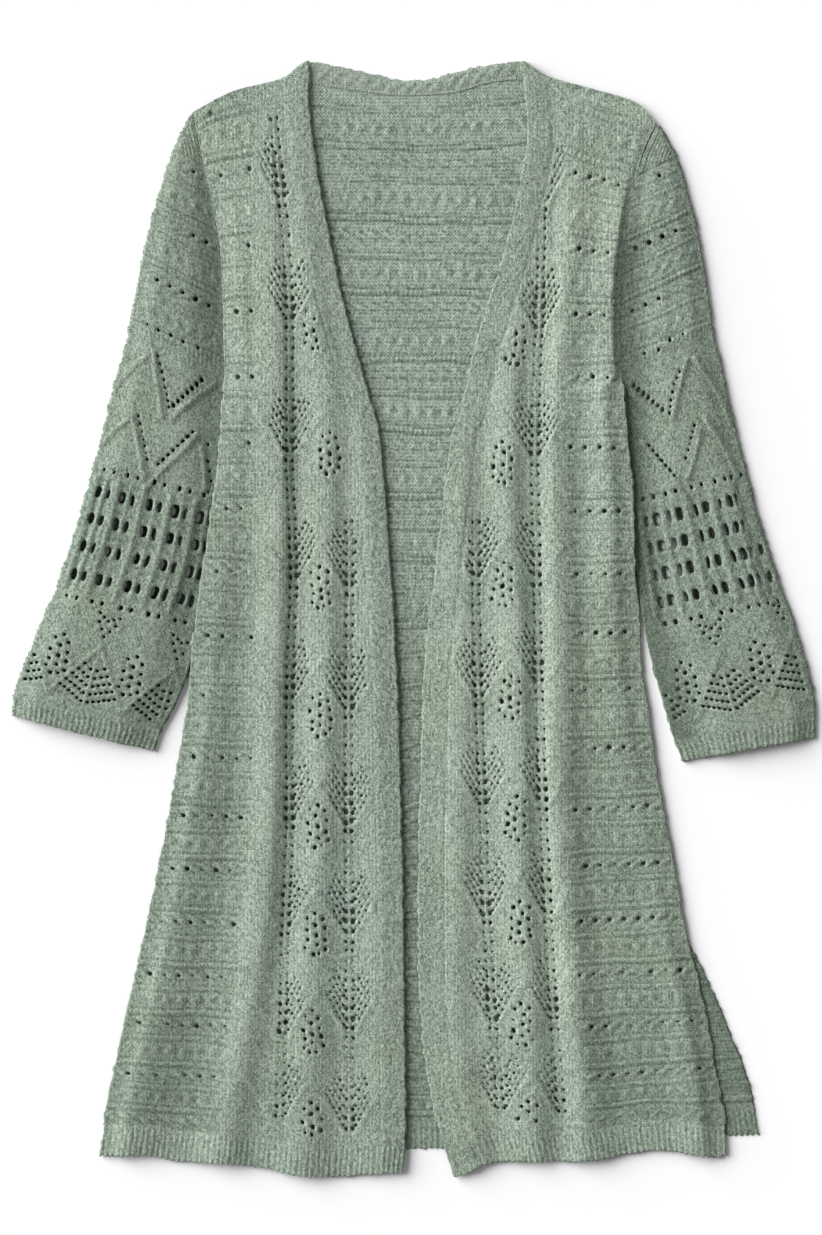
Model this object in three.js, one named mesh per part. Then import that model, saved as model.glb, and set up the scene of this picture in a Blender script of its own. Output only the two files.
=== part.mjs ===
// Open-front pointelle cardigan, laid flat face up. Millimetres, +X across the body, +Y towards the neck,
// +Z up off the surface. Pieces are named by the wearer's side, so the right side is at -X.
import * as THREE from 'three';
import { mergeVertices } from 'three/addons/utils/BufferGeometryUtils.js';

// Driving dimensions
const clothThickness = 2.2;
const bandThickness = 2.6;
const seamGap = 0.3;
const bandWidth = 22.5;
const ribPitch = 4.8;
const ribHeight = 0.8;
const hemRibLength = 26;
const weltHeight = 0.9;
const weltHalfWidth = 2.6;
const zigzagHeight = 1.3;
const zigzagHalfWidth = 3.6;
const sleevePuff = 3.2;
const frontLooseness = 0.8;
const bandEdgeLift = 0.7;
const sideLift = 5.4;
const holeWidth = 6;
const holeHeight = 10.8;
const holePairSpacing = 9;
const frontZ = clothThickness + seamGap;
const frontTopY = 480;

// Rows across the body from the shoulder to the hem. Each gives the height up the garment, in mm, at
// both side edges and at both front edges. A welt row carries a raised welt, and rightRise and leftRise
// say how far the side has climbed onto the sleeve that lies under it.
const bodyRows = [
  { rightSide: 438, rightEdge: 482, leftEdge: 482, leftSide: 428, welt: false, rightRise: 0, leftRise: 0 },
  { rightSide: 394, rightEdge: 421, leftEdge: 417, leftSide: 385, welt: true, rightRise: 0, leftRise: 0 },
  { rightSide: 333, rightEdge: 347, leftEdge: 344, leftSide: 328, welt: true, rightRise: 0, leftRise: 0 },
  { rightSide: 278, rightEdge: 285, leftEdge: 281, leftSide: 273, welt: true, rightRise: 0, leftRise: 0 },
  { rightSide: 222, rightEdge: 224, leftEdge: 225, leftSide: 222, welt: true, rightRise: 0, leftRise: 0 },
  { rightSide: 214, rightEdge: 215, leftEdge: 215, leftSide: 214, welt: false, rightRise: 0, leftRise: 0 },
  { rightSide: 193, rightEdge: 193, leftEdge: 193, leftSide: 193, welt: false, rightRise: 1, leftRise: 1 },
  { rightSide: 165, rightEdge: 165, leftEdge: 162, leftSide: 161, welt: true, rightRise: 1, leftRise: 1 },
  { rightSide: 108, rightEdge: 107, leftEdge: 106, leftSide: 106, welt: true, rightRise: 1, leftRise: 1 },
  { rightSide: 54, rightEdge: 52, leftEdge: 50, leftSide: 51, welt: true, rightRise: 1, leftRise: 1 },
  { rightSide: -2, rightEdge: -6, leftEdge: -4, leftSide: 0, welt: true, rightRise: 1, leftRise: 0 },
  { rightSide: -54, rightEdge: -59, leftEdge: -55, leftSide: -49, welt: true, rightRise: 0, leftRise: 0 },
  { rightSide: -107, rightEdge: -113, leftEdge: -106, leftSide: -98, welt: true, rightRise: 0, leftRise: 0 },
  { rightSide: -158, rightEdge: -165, leftEdge: -159, leftSide: -150, welt: true, rightRise: 0, leftRise: 0 },
  { rightSide: -205, rightEdge: -213, leftEdge: -209, leftSide: -199, welt: true, rightRise: 0, leftRise: 0 },
  { rightSide: -250, rightEdge: -259, leftEdge: -257, leftSide: -246, welt: true, rightRise: 0, leftRise: 0 },
  { rightSide: -297, rightEdge: -307, leftEdge: -305, leftSide: -292, welt: true, rightRise: 0, leftRise: 0 },
  { rightSide: -339, rightEdge: -349, leftEdge: -351, leftSide: -337, welt: true, rightRise: 0, leftRise: 0 },
  { rightSide: -383, rightEdge: -394, leftEdge: -396, leftSide: -379, welt: true, rightRise: 0, leftRise: 0 },
  { rightSide: -422, rightEdge: -435, leftEdge: -436, leftSide: -416, welt: true, rightRise: 0, leftRise: 0 },
];

// Side seam and armhole line of each side, as x at a height y
const rightSideLine = [
  { y: 438, x: -192 }, { y: 414, x: -187 }, { y: 380, x: -180 }, { y: 358, x: -175 }, { y: 316, x: -168 },
  { y: 260, x: -166 }, { y: 214, x: -165 }, { y: 163, x: -167 }, { y: 120, x: -171 }, { y: 68, x: -179 },
  { y: 4, x: -188 }, { y: -33, x: -193 }, { y: -66, x: -195 }, { y: -123, x: -204 }, { y: -174, x: -213 },
  { y: -244, x: -227 }, { y: -330, x: -246 }, { y: -417, x: -265 }, { y: -464, x: -273 },
];
const leftSideLine = [
  { y: 428, x: 210 }, { y: 410, x: 202 }, { y: 395, x: 196 }, { y: 362, x: 187 }, { y: 330, x: 182 },
  { y: 295, x: 178 }, { y: 260, x: 177 }, { y: 214, x: 179 }, { y: 168, x: 183 }, { y: 97, x: 189 },
  { y: 45, x: 190 }, { y: 4, x: 194 }, { y: -43, x: 196 }, { y: -78, x: 202 }, { y: -124, x: 208 },
  { y: -177, x: 217 }, { y: -220, x: 225 }, { y: -280, x: 236 }, { y: -316, x: 246 }, { y: -354, x: 254 },
  { y: -391, x: 260 }, { y: -439, x: 269 }, { y: -462, x: 270 },
];
// The back's own left edge leaves the side seam at the vent and runs out past the front
const backLeftLine = [
  { y: 428, x: 210 }, { y: 410, x: 202 }, { y: 395, x: 196 }, { y: 362, x: 187 }, { y: 330, x: 182 },
  { y: 295, x: 178 }, { y: 260, x: 177 }, { y: 214, x: 179 }, { y: 168, x: 183 }, { y: 97, x: 189 },
  { y: 45, x: 190 }, { y: 4, x: 194 }, { y: -43, x: 196 }, { y: -78, x: 202 }, { y: -124, x: 208 },
  { y: -177, x: 217 }, { y: -220, x: 225 }, { y: -276, x: 236 }, { y: -306, x: 251 }, { y: -354, x: 271 },
  { y: -401, x: 289 }, { y: -441, x: 298 },
];
// Front opening edges
const rightEdgeLine = [
  { y: 482, x: -91 }, { y: 454, x: -91 }, { y: 418, x: -88 }, { y: 377, x: -82 }, { y: 331, x: -73 },
  { y: 286, x: -64 }, { y: 240, x: -52 }, { y: 200, x: -41 }, { y: 159, x: -30 }, { y: 108, x: -25 },
  { y: 50, x: -21 }, { y: -8, x: -17 }, { y: -66, x: -14 }, { y: -140, x: -12 }, { y: -215, x: -10 },
  { y: -366, x: -8 }, { y: -429, x: -7 }, { y: -479, x: -10 },
];
const leftEdgeLine = [
  { y: 482, x: 91 }, { y: 454, x: 96 }, { y: 418, x: 97 }, { y: 363, x: 88 }, { y: 317, x: 77 },
  { y: 272, x: 63 }, { y: 227, x: 50 }, { y: 177, x: 39 }, { y: 159, x: 32 }, { y: 108, x: 26 },
  { y: 73, x: 21 }, { y: 27, x: 16 }, { y: -19, x: 10 }, { y: -66, x: 7 }, { y: -140, x: 5 },
  { y: -215, x: 3 }, { y: -291, x: 3 }, { y: -354, x: 6 }, { y: -391, x: 10 }, { y: -429, x: 18 },
  { y: -454, x: 25 }, { y: -482, x: 34 },
];
// Shoulder lines, front hems, back hem and back neck, as y at a place x across
const shoulderLine = [
  { x: -192, y: 438 }, { x: -157, y: 456 }, { x: -113, y: 468 }, { x: -91, y: 482 },
  { x: 91, y: 482 }, { x: 113, y: 470 }, { x: 154, y: 458 }, { x: 192, y: 446 }, { x: 210, y: 428 },
];
const frontHemLine = [
  { x: -273, y: -464 }, { x: -233, y: -463 }, { x: -208, y: -468 }, { x: -145, y: -472 },
  { x: -87, y: -482 }, { x: -10, y: -479 }, { x: 34, y: -482 }, { x: 70, y: -469 }, { x: 143, y: -468 },
  { x: 213, y: -459 }, { x: 264, y: -465 }, { x: 270, y: -462 },
];
const backHemLine = [
  { x: -273, y: -454 }, { x: -8, y: -458 }, { x: 180, y: -452 }, { x: 298, y: -445 },
];
const neckLine = [
  { x: -113, y: 465.5 }, { x: -90, y: 464 }, { x: -55, y: 459 }, { x: -8, y: 454 }, { x: 30, y: 456 },
  { x: 69, y: 466 }, { x: 91, y: 468 }, { x: 113, y: 467.5 },
];
const neckTopLine = [
  { x: -113, y: 468 }, { x: -91, y: 482 }, { x: -70, y: 479 }, { x: -39, y: 472 }, { x: -8, y: 466 },
  { x: 7, y: 466 }, { x: 38, y: 474 }, { x: 69, y: 480 }, { x: 91, y: 482.5 }, { x: 113, y: 470 },
];

// Soft folds in each front: the ridge's place across at a height up the garment, and how high it stands
const rightFolds = [
  { name: 'armhole', halfWidth: 16, line: [
    { y: 380, x: -163, height: 0 }, { y: 270, x: -152, height: 2.5 }, { y: 85, x: -160, height: 3 },
    { y: -20, x: -176, height: 2.5 }, { y: -100, x: -192, height: 0 }] },
  { name: 'side', halfWidth: 26, line: [
    { y: 440, x: -128, height: 0 }, { y: 290, x: -130, height: 4 }, { y: 100, x: -131, height: 6 },
    { y: -122, x: -132, height: 6.5 }, { y: -330, x: -151, height: 6.5 }, { y: -490, x: -170, height: 7 }] },
  { name: 'middle', halfWidth: 24, line: [
    { y: 450, x: -108, height: 0 }, { y: 362, x: -98, height: 4 }, { y: 172, x: -83, height: 5 },
    { y: -122, x: -82, height: 5.5 }, { y: -330, x: -95, height: 6 }, { y: -490, x: -101, height: 6.5 }] },
  { name: 'front', halfWidth: 24, line: [
    { y: 230, x: -62, height: 0 }, { y: 150, x: -46, height: 3.5 }, { y: 0, x: -37, height: 5 },
    { y: -250, x: -34, height: 6 }, { y: -490, x: -36, height: 5.5 }] },
  { name: 'hem', halfWidth: 24, line: [
    { y: -200, x: -196, height: 0 }, { y: -330, x: -218, height: 3.5 }, { y: -490, x: -250, height: 4.5 }] },
];
const leftFolds = [
  { name: 'armhole', halfWidth: 18, line: [
    { y: 390, x: 172, height: 0 }, { y: 270, x: 160, height: 3 }, { y: 85, x: 168, height: 4 },
    { y: -20, x: 172, height: 3.5 }, { y: -120, x: 184, height: 0 }] },
  { name: 'side', halfWidth: 25, line: [
    { y: 440, x: 118, height: 0 }, { y: 290, x: 119, height: 4 }, { y: 100, x: 120, height: 6 },
    { y: -122, x: 121, height: 6.5 }, { y: -330, x: 131, height: 6.5 }, { y: -490, x: 143, height: 7 }] },
  { name: 'middle', halfWidth: 24, line: [
    { y: 400, x: 100, height: 0 }, { y: 276, x: 80, height: 4.5 }, { y: 85, x: 79, height: 6 },
    { y: -420, x: 84, height: 6 }, { y: -490, x: 86, height: 5.5 }] },
  { name: 'front', halfWidth: 22, line: [
    { y: 200, x: 52, height: 0 }, { y: 85, x: 36, height: 4 }, { y: -200, x: 30, height: 5 },
    { y: -330, x: 31, height: 5 }, { y: -480, x: 56, height: 3.5 }] },
  { name: 'hem', halfWidth: 26, line: [
    { y: -170, x: 186, height: 0 }, { y: -330, x: 208, height: 4 }, { y: -480, x: 226, height: 4.5 }] },
];

// Rows across each sleeve from its head to its cuff. inner is the height of the row's end at the body,
// where tuck says how far that end lies under the body's side. Past the body innerX places it.
const rightSleeveRows = [
  { inner: 437, tuck: -seamGap, outerX: -196, outerY: 433, form: 'plain' },
  { inner: 394, tuck: -seamGap, outerX: -208, outerY: 409, form: 'welt' },
  { inner: 333, tuck: -seamGap, outerX: -224, outerY: 360, form: 'welt' },
  { inner: 278, tuck: -seamGap, outerX: -236, outerY: 313, form: 'welt' },
  { inner: 222, tuck: -seamGap, outerX: -246.5, outerY: 258, form: 'plain' },
  { inner: 214, tuck: -seamGap, outerX: -248, outerY: 250, form: 'plain' },
  { inner: 193, tuck: -seamGap, outerX: -254, outerY: 226, form: 'zigzag' },
  { inner: 165, tuck: 3, outerX: -262, outerY: 197, form: 'zigzag valley' },
  { inner: 134, tuck: 5, outerX: -270, outerY: 164, form: 'zigzag' },
  { inner: 108, tuck: 8, outerX: -277, outerY: 137, form: 'plain' },
  { inner: 54, tuck: 8, outerX: -292, outerY: 84, form: 'lattice' },
  { inner: -2, tuck: -seamGap, outerX: -311, outerY: 26, form: 'plain' },
  { inner: -40, innerX: -194.4, outerX: -327, outerY: -12, form: 'plain' },
  { inner: -72, innerX: -206, outerX: -340, outerY: -43, form: 'plain' },
  { inner: -96, innerX: -219, outerX: -347.7, outerY: -67, form: 'rib' },
  { inner: -115, innerX: -226, outerX: -349, outerY: -84, form: 'end' },
];
const leftSleeveRows = [
  { inner: 427, tuck: -seamGap, outerX: 213, outerY: 426, form: 'plain' },
  { inner: 385, tuck: -seamGap, outerX: 226, outerY: 402, form: 'welt' },
  { inner: 328, tuck: -seamGap, outerX: 241, outerY: 354, form: 'welt' },
  { inner: 273, tuck: -seamGap, outerX: 251, outerY: 307, form: 'welt' },
  { inner: 222, tuck: -seamGap, outerX: 258, outerY: 258, form: 'plain' },
  { inner: 214, tuck: -seamGap, outerX: 259, outerY: 250, form: 'plain' },
  { inner: 193, tuck: -seamGap, outerX: 264.6, outerY: 226, form: 'zigzag' },
  { inner: 161, tuck: 3, outerX: 272.5, outerY: 191, form: 'zigzag valley' },
  { inner: 134, tuck: 4.5, outerX: 279, outerY: 162, form: 'zigzag' },
  { inner: 106, tuck: 6, outerX: 286.5, outerY: 132, form: 'plain' },
  { inner: 51, tuck: -seamGap, outerX: 300.7, outerY: 79, form: 'lattice' },
  { inner: 0, innerX: 197.5, outerX: 318, outerY: 27, form: 'plain' },
  { inner: -32, innerX: 204, outerX: 332, outerY: -13, form: 'plain' },
  { inner: -75, innerX: 216, outerX: 343, outerY: -52, form: 'plain' },
  { inner: -105, innerX: 224.7, outerX: 347.7, outerY: -83, form: 'rib' },
  { inner: -124, innerX: 232, outerX: 346.8, outerY: -103, form: 'end' },
];
// Zigzag of the raised twisted stitches: how far down the sleeve the ridge hangs at a fraction across
const rightZigzag = [
  { across: 0, drop: 0 }, { across: 0.13, drop: -10 }, { across: 0.48, drop: 28 },
  { across: 0.74, drop: -16 }, { across: 1, drop: 12 },
];
const leftZigzag = [
  { across: 0, drop: 0 }, { across: 0.1, drop: -8 }, { across: 0.52, drop: 28 },
  { across: 0.8, drop: -16 }, { across: 1, drop: 8 },
];
const rightHolePairs = [0.105, 0.29, 0.483, 0.687, 0.868];
const leftHolePairs = [0.185, 0.364, 0.577, 0.77, 0.905];
const latticeRowPitch = 23.3;
const latticeRowsOfHoles = 4;

// Value of one column of a table at a place, straight between its rows
function at(table, keyName, key, valueName) {
  const rising = table[table.length - 1][keyName] > table[0][keyName];
  const rows = rising ? table : [...table].reverse();
  if (key <= rows[0][keyName]) return rows[0][valueName];
  for (let i = 1; i < rows.length; i += 1) {
    if (key <= rows[i][keyName]) {
      const share = (key - rows[i - 1][keyName]) / (rows[i][keyName] - rows[i - 1][keyName]);
      return THREE.MathUtils.lerp(rows[i - 1][valueName], rows[i][valueName], share);
    }
  }
  return rows[rows.length - 1][valueName];
}

const smooth = (value, from, to) => THREE.MathUtils.smoothstep(value, from, to);
const mix = THREE.MathUtils.lerp;

// Share of a polyline's length, seen from above, at each of its points
function sharesAlong(line) {
  const lengths = [0];
  for (let i = 1; i < line.length; i += 1) {
    lengths.push(lengths[i - 1] + Math.hypot(line[i].x - line[i - 1].x, line[i].y - line[i - 1].y));
  }
  return lengths.map((length) => length / lengths[lengths.length - 1]);
}

// Triangles between two polylines that run side by side. Lines of like counts pair up point by point,
// unless byLength asks for the nearest place along each.
function zip(first, second, triangles, byLength = false) {
  const paired = first.length === second.length && !byLength;
  const firstShares = paired ? first.map((point, i) => i) : sharesAlong(first);
  const secondShares = paired ? second.map((point, i) => i) : sharesAlong(second);
  let i = 0;
  let j = 0;
  while (i < first.length - 1 || j < second.length - 1) {
    const canStepFirst = i < first.length - 1;
    const stepFirst = j === second.length - 1
      || (canStepFirst && firstShares[i + 1] <= secondShares[j + 1] + 1e-9);
    if (stepFirst) {
      triangles.push([first[i], first[i + 1], second[j]]);
      i += 1;
    } else {
      triangles.push([first[i], second[j + 1], second[j]]);
      j += 1;
    }
  }
}

// A closed wall of cloth between an outer and an inner set of rows. holes name the cells, by row and
// column, that are open in both; there the two sets have like counts.
function wall(outer, inner, holes = []) {
  const triangles = [];
  const open = new Set(holes.map((hole) => `${hole.outerRow} ${hole.column}`));
  const openInner = new Set(holes.map((hole) => `${hole.innerRow} ${hole.column}`));
  const face = (rows, isOpen, flip) => {
    for (let r = 0; r < rows.length - 1; r += 1) {
      const strip = [];
      const cut = rows[r].some((point, c) => isOpen.has(`${r} ${c}`));
      if (cut) {
        for (let c = 0; c < rows[r].length - 1; c += 1) {
          if (!isOpen.has(`${r} ${c}`)) zip(rows[r].slice(c, c + 2), rows[r + 1].slice(c, c + 2), strip);
        }
      } else {
        zip(rows[r], rows[r + 1], strip);
      }
      strip.forEach(([a, b, c]) => triangles.push(flip ? [a, c, b] : [a, b, c]));
    }
  };
  face(outer, open, false);
  face(inner, openInner, true);
  const rim = (upper, lower, flip) => {
    const strip = [];
    zip(upper, lower, strip, true);
    strip.forEach(([a, b, c]) => triangles.push(flip ? [a, c, b] : [a, b, c]));
  };
  const last = (row) => row[row.length - 1];
  rim(outer[0], inner[0], true);
  rim(last(outer), last(inner), false);
  rim(outer.map((row) => row[0]), inner.map((row) => row[0]), false);
  rim(outer.map(last), inner.map(last), true);
  holes.forEach(({ outerRow, innerRow, column }) => {
    const top = (r, c) => outer[outerRow + r][column + c];
    const under = (r, c) => inner[innerRow + r][column + c];
    const openAt = (r, c) => open.has(`${outerRow + r} ${column + c}`);
    if (!openAt(-1, 0)) rim([top(0, 0), top(0, 1)], [under(0, 0), under(0, 1)], false);
    if (!openAt(1, 0)) rim([top(1, 0), top(1, 1)], [under(1, 0), under(1, 1)], true);
    if (!openAt(0, -1)) rim([top(0, 0), top(1, 0)], [under(0, 0), under(1, 0)], true);
    if (!openAt(0, 1)) rim([top(0, 1), top(1, 1)], [under(0, 1), under(1, 1)], false);
  });
  return triangles;
}

// Mesh of a closed set of triangles, turned so that its faces point out
function solid(name, triangles, color) {
  const volume = triangles.reduce((sum, [a, b, c]) => sum + a.dot(b.clone().cross(c)), 0);
  const positions = [];
  triangles.forEach(([a, b, c]) => {
    const turned = volume < 0 ? [a, c, b] : [a, b, c];
    turned.forEach((point) => positions.push(point.x, point.y, point.z));
  });
  const geometry = new THREE.BufferGeometry();
  geometry.setAttribute('position', new THREE.Float32BufferAttribute(positions, 3));
  const merged = mergeVertices(geometry, 1e-4);
  merged.computeVertexNormals();
  const material = new THREE.MeshStandardMaterial({ color, roughness: 0.95, metalness: 0 });
  const mesh = new THREE.Mesh(merged, material);
  mesh.name = name;
  return mesh;
}

// One side of the body: its lines, folds and the direction from its side seam to the front opening
const sides = {
  right: { key: 'right', inward: 1, side: rightSideLine, edge: rightEdgeLine, folds: rightFolds },
  left: { key: 'left', inward: -1, side: leftSideLine, edge: leftEdgeLine, folds: leftFolds },
};

// Places on a side's seam and opening edge. Both run straight between the body's rows, so that the pieces
// that meet there keep their gap; the last two stations are the rib's top and the hem.
const ribTopY = { side: -438, edge: -453 };
const hemY = { side: -464, edge: -480 };
function stations(side, end, table) {
  const name = end === 'side' ? `${side.key}Side` : `${side.key}Edge`;
  const heights = [...bodyRows.map((row) => row[name]), ribTopY[end], hemY[end]];
  return heights.map((y) => ({ y, x: at(table, 'y', y, 'x') }));
}
Object.values(sides).forEach((side) => {
  side.sideStations = stations(side, 'side', side.side);
  side.edgeStations = stations(side, 'edge', side.edge);
});
const sideX = (side, y) => at(side.sideStations, 'y', y, 'x');
const edgeX = (side, y) => at(side.edgeStations, 'y', y, 'x');

// How far the body's side has climbed over the sleeve, at a distance in from the side edge
const climbFlat = 11;
const climbEnd = 24;
function climb(rise, distance) {
  return sideLift * rise * (1 - smooth(distance, climbFlat, climbEnd));
}

// Height of a front above the back: its folds, let down to the back at its edges
const looseRun = 20;
const sideRun = 22;
const edgeRun = { from: -4, to: 24 };
const shoulderRun = 60;
function foldHeight(side, x, y, fromSide, fromEdge) {
  let height = 0;
  side.folds.forEach((fold) => {
    const distance = Math.abs(x - at(fold.line, 'y', y, 'x')) / fold.halfWidth;
    const crest = at(fold.line, 'y', y, 'height');
    if (distance < 1) height += crest * (0.5 + 0.5 * Math.cos(Math.PI * distance));
  });
  const loose = frontLooseness * smooth(fromSide, 0, looseRun);
  const edgeFade = smooth(fromSide, 0, sideRun) * smooth(fromEdge, edgeRun.from, edgeRun.to);
  return loose + height * edgeFade * smooth(frontTopY - y, 0, shoulderRun);
}

// Places across a front, as x from its side edge to the band's seam. Past the side's climb they run
// along the ridges of the side and middle folds, with like steps between.
const sideSteps = [0, 5.5, climbFlat, 17.5, climbEnd];
const stepsPerFold = 4;
const furthestRidges = [{ name: 'side', share: 0.4 }, { name: 'middle', share: 0.85 }];
function across(side, y, from, to) {
  const width = Math.abs(to - from);
  const ridges = furthestRidges.map(({ name, share }) => {
    const fold = side.folds.find((one) => one.name === name);
    const distance = Math.abs(at(fold.line, 'y', y, 'x') - from);
    return Math.min(distance, mix(climbEnd, width, share));
  });
  const knots = [climbEnd, ...ridges, width];
  const rest = knots.slice(1).flatMap((knot, k) => Array.from({ length: stepsPerFold }, (unused, i) => (
    mix(knots[k], knot, (i + 1) / stepsPerFold))));
  return [...sideSteps, ...rest].map((distance) => from + side.inward * distance);
}

// Body rows of one side with the welts' valley rows added, then the hem rib
function frontRows(side, withWelts) {
  const rows = [];
  bodyRows.forEach((row) => {
    const station = {
      sideY: row[`${side.key}Side`], edgeY: row[`${side.key}Edge`], rise: row[`${side.key}Rise`],
    };
    if (row.welt && withWelts) {
      const neighbour = (shift) => {
        const sideY = station.sideY + shift;
        const rise = at(bodyRows, `${side.key}Side`, sideY, `${side.key}Rise`);
        return { sideY, edgeY: station.edgeY + shift, rise, welt: 0 };
      };
      rows.push(neighbour(weltHalfWidth), { ...station, welt: 1 }, neighbour(-weltHalfWidth));
    } else {
      rows.push({ ...station, welt: 0 });
    }
  });
  return rows;
}

// A point of a front or its band: x across, on the row's line, at its height
function frontPoint(side, row, x, isFirst) {
  const sideEdge = sideX(side, row.sideY);
  const openEdge = edgeX(side, row.edgeY);
  const share = (x - sideEdge) / (openEdge - sideEdge);
  const y = isFirst ? at(shoulderLine, 'x', x, 'y') : mix(row.sideY, row.edgeY, share);
  const fromSide = Math.abs(x - sideEdge);
  const fromEdge = Math.abs(openEdge - x);
  const lift = climb(row.rise, fromSide) + bandEdgeLift * (1 - smooth(fromEdge, 0, bandWidth));
  const z = frontZ + lift + foldHeight(side, x, y, fromSide, fromEdge);
  return new THREE.Vector3(x, y, z);
}

// The lower rows of a front or band: the rib from its top line down to the hem line
function hemRow(side, x, drop, sideEdge, openEdge) {
  const y = at(frontHemLine, 'x', x, 'y') + hemRibLength * (1 - drop);
  const fromSide = Math.abs(x - sideEdge);
  const fromEdge = Math.abs(openEdge - x);
  const lift = bandEdgeLift * (1 - smooth(fromEdge, 0, bandWidth));
  return new THREE.Vector3(x, y, frontZ + lift + foldHeight(side, x, y, fromSide, fromEdge));
}

// The welts fade out past the side fold, where the lace panel beside the front band starts
const lacePanelStart = 14;
const weltFade = 11;
function weltShare(side, x, y) {
  const sideFold = side.folds.find((fold) => fold.name === 'side');
  const panelX = at(sideFold.line, 'y', y, 'x') + side.inward * lacePanelStart;
  return smooth((panelX - x) * side.inward, -weltFade, weltFade);
}

// Points along a rib, one groove and one crest for each stitch pair. The rib starts a little below its
// top line, and its grooves sink a little into the wall.
const ribStart = 0.08;
const ribSink = 0.3;
function ribPlaces(from, to) {
  const count = Math.max(2, Math.round(Math.abs(to - from) / ribPitch));
  return Array.from({ length: count * 2 + 1 }, (unused, i) => ({
    place: mix(from, to, i / (count * 2)), crest: i % 2,
  }));
}

// Rows turned to run towards +X, so that layers which lie on each other fold along the same lines
function eastward(rows, side) {
  return side.inward > 0 ? rows : rows.map((row) => [...row].reverse());
}

function raise(points, height) {
  return points.map((point) => new THREE.Vector3(point.x, point.y, point.z + height));
}

function frontPanel(name, side, color) {
  const outer = [];
  const inner = [];
  const seam = (openEdge) => openEdge - side.inward * (bandWidth + seamGap / 2);
  const rowPoints = (row, isFirst) => {
    const middleY = mix(row.sideY, row.edgeY, 0.5);
    const places = across(side, middleY, sideX(side, row.sideY), seam(edgeX(side, row.edgeY)));
    return places.map((x) => frontPoint(side, row, x, isFirst));
  };
  frontRows(side, true).forEach((row, index) => {
    outer.push(rowPoints(row, index === 0).map((point) => {
      const relief = row.welt * weltHeight * weltShare(side, point.x, point.y);
      return new THREE.Vector3(point.x, point.y, point.z + clothThickness + relief);
    }));
  });
  frontRows(side, false).forEach((row, index) => inner.push(rowPoints(row, index === 0)));
  const hemPart = (drop, placesFor) => {
    const sideEdge = sideX(side, mix(ribTopY.side, hemY.side, drop));
    const openEdge = edgeX(side, mix(ribTopY.edge, hemY.edge, drop));
    return placesFor(sideEdge, seam(openEdge)).map(({ place, crest }) => {
      const point = hemRow(side, place, drop, sideEdge, openEdge);
      point.z += crest;
      return point;
    });
  };
  const plain = (from, to) => across(side, ribTopY.side, from, to).map((place) => ({ place, crest: 0 }));
  const ribbed = (from, to) => ribPlaces(from, to)
    .map(({ place, crest }) => ({ place, crest: (crest - ribSink) * ribHeight }));
  outer.push(raise(hemPart(0, plain), clothThickness));
  outer.push(raise(hemPart(ribStart, ribbed), clothThickness));
  outer.push(raise(hemPart(1, ribbed), clothThickness));
  inner.push(hemPart(0, plain));
  inner.push(hemPart(1, plain));
  return solid(name, wall(eastward(outer, side), eastward(inner, side)), color);
}

// The band follows the front's opening edge; its outer side is slightly crowned
const bandSteps = 4;
const bandCrown = 0.5;
function frontBand(name, side, color) {
  const rowsOfPoints = [];
  const crowns = Array.from({ length: bandSteps + 1 }, (unused, i) => Math.sin(Math.PI * i / bandSteps));
  const places = (openEdge) => crowns.map((unused, i) => mix(
    openEdge - side.inward * (bandWidth - seamGap / 2), openEdge, i / bandSteps));
  frontRows(side, false).forEach((row, index) => {
    const openEdge = edgeX(side, row.edgeY);
    rowsOfPoints.push(places(openEdge).map((x) => frontPoint(side, row, x, index === 0)));
  });
  [0, 1].forEach((drop) => {
    const sideEdge = sideX(side, mix(ribTopY.side, hemY.side, drop));
    const openEdge = edgeX(side, mix(ribTopY.edge, hemY.edge, drop));
    rowsOfPoints.push(places(openEdge).map((x) => hemRow(side, x, drop, sideEdge, openEdge)));
  });
  const outer = rowsOfPoints.map((row) => row.map((point, i) => new THREE.Vector3(
    point.x, point.y, point.z + bandThickness + bandCrown * crowns[i])));
  return solid(name, wall(eastward(outer, side), eastward(rowsOfPoints, side)), color);
}

// Places across the back neck where the back and its band share a seam, and across the shoulders
const neckPlaces = [-112, -91.5, -89.5, -55, -8, 30, 69, 89.5, 92.5, 112];
const shoulderPlaces = [-140, ...neckPlaces, 154];
const neckHalfWidth = 113;
const neckOpeningHalfWidth = 90;
const neckBandCrown = 0.6;

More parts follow.
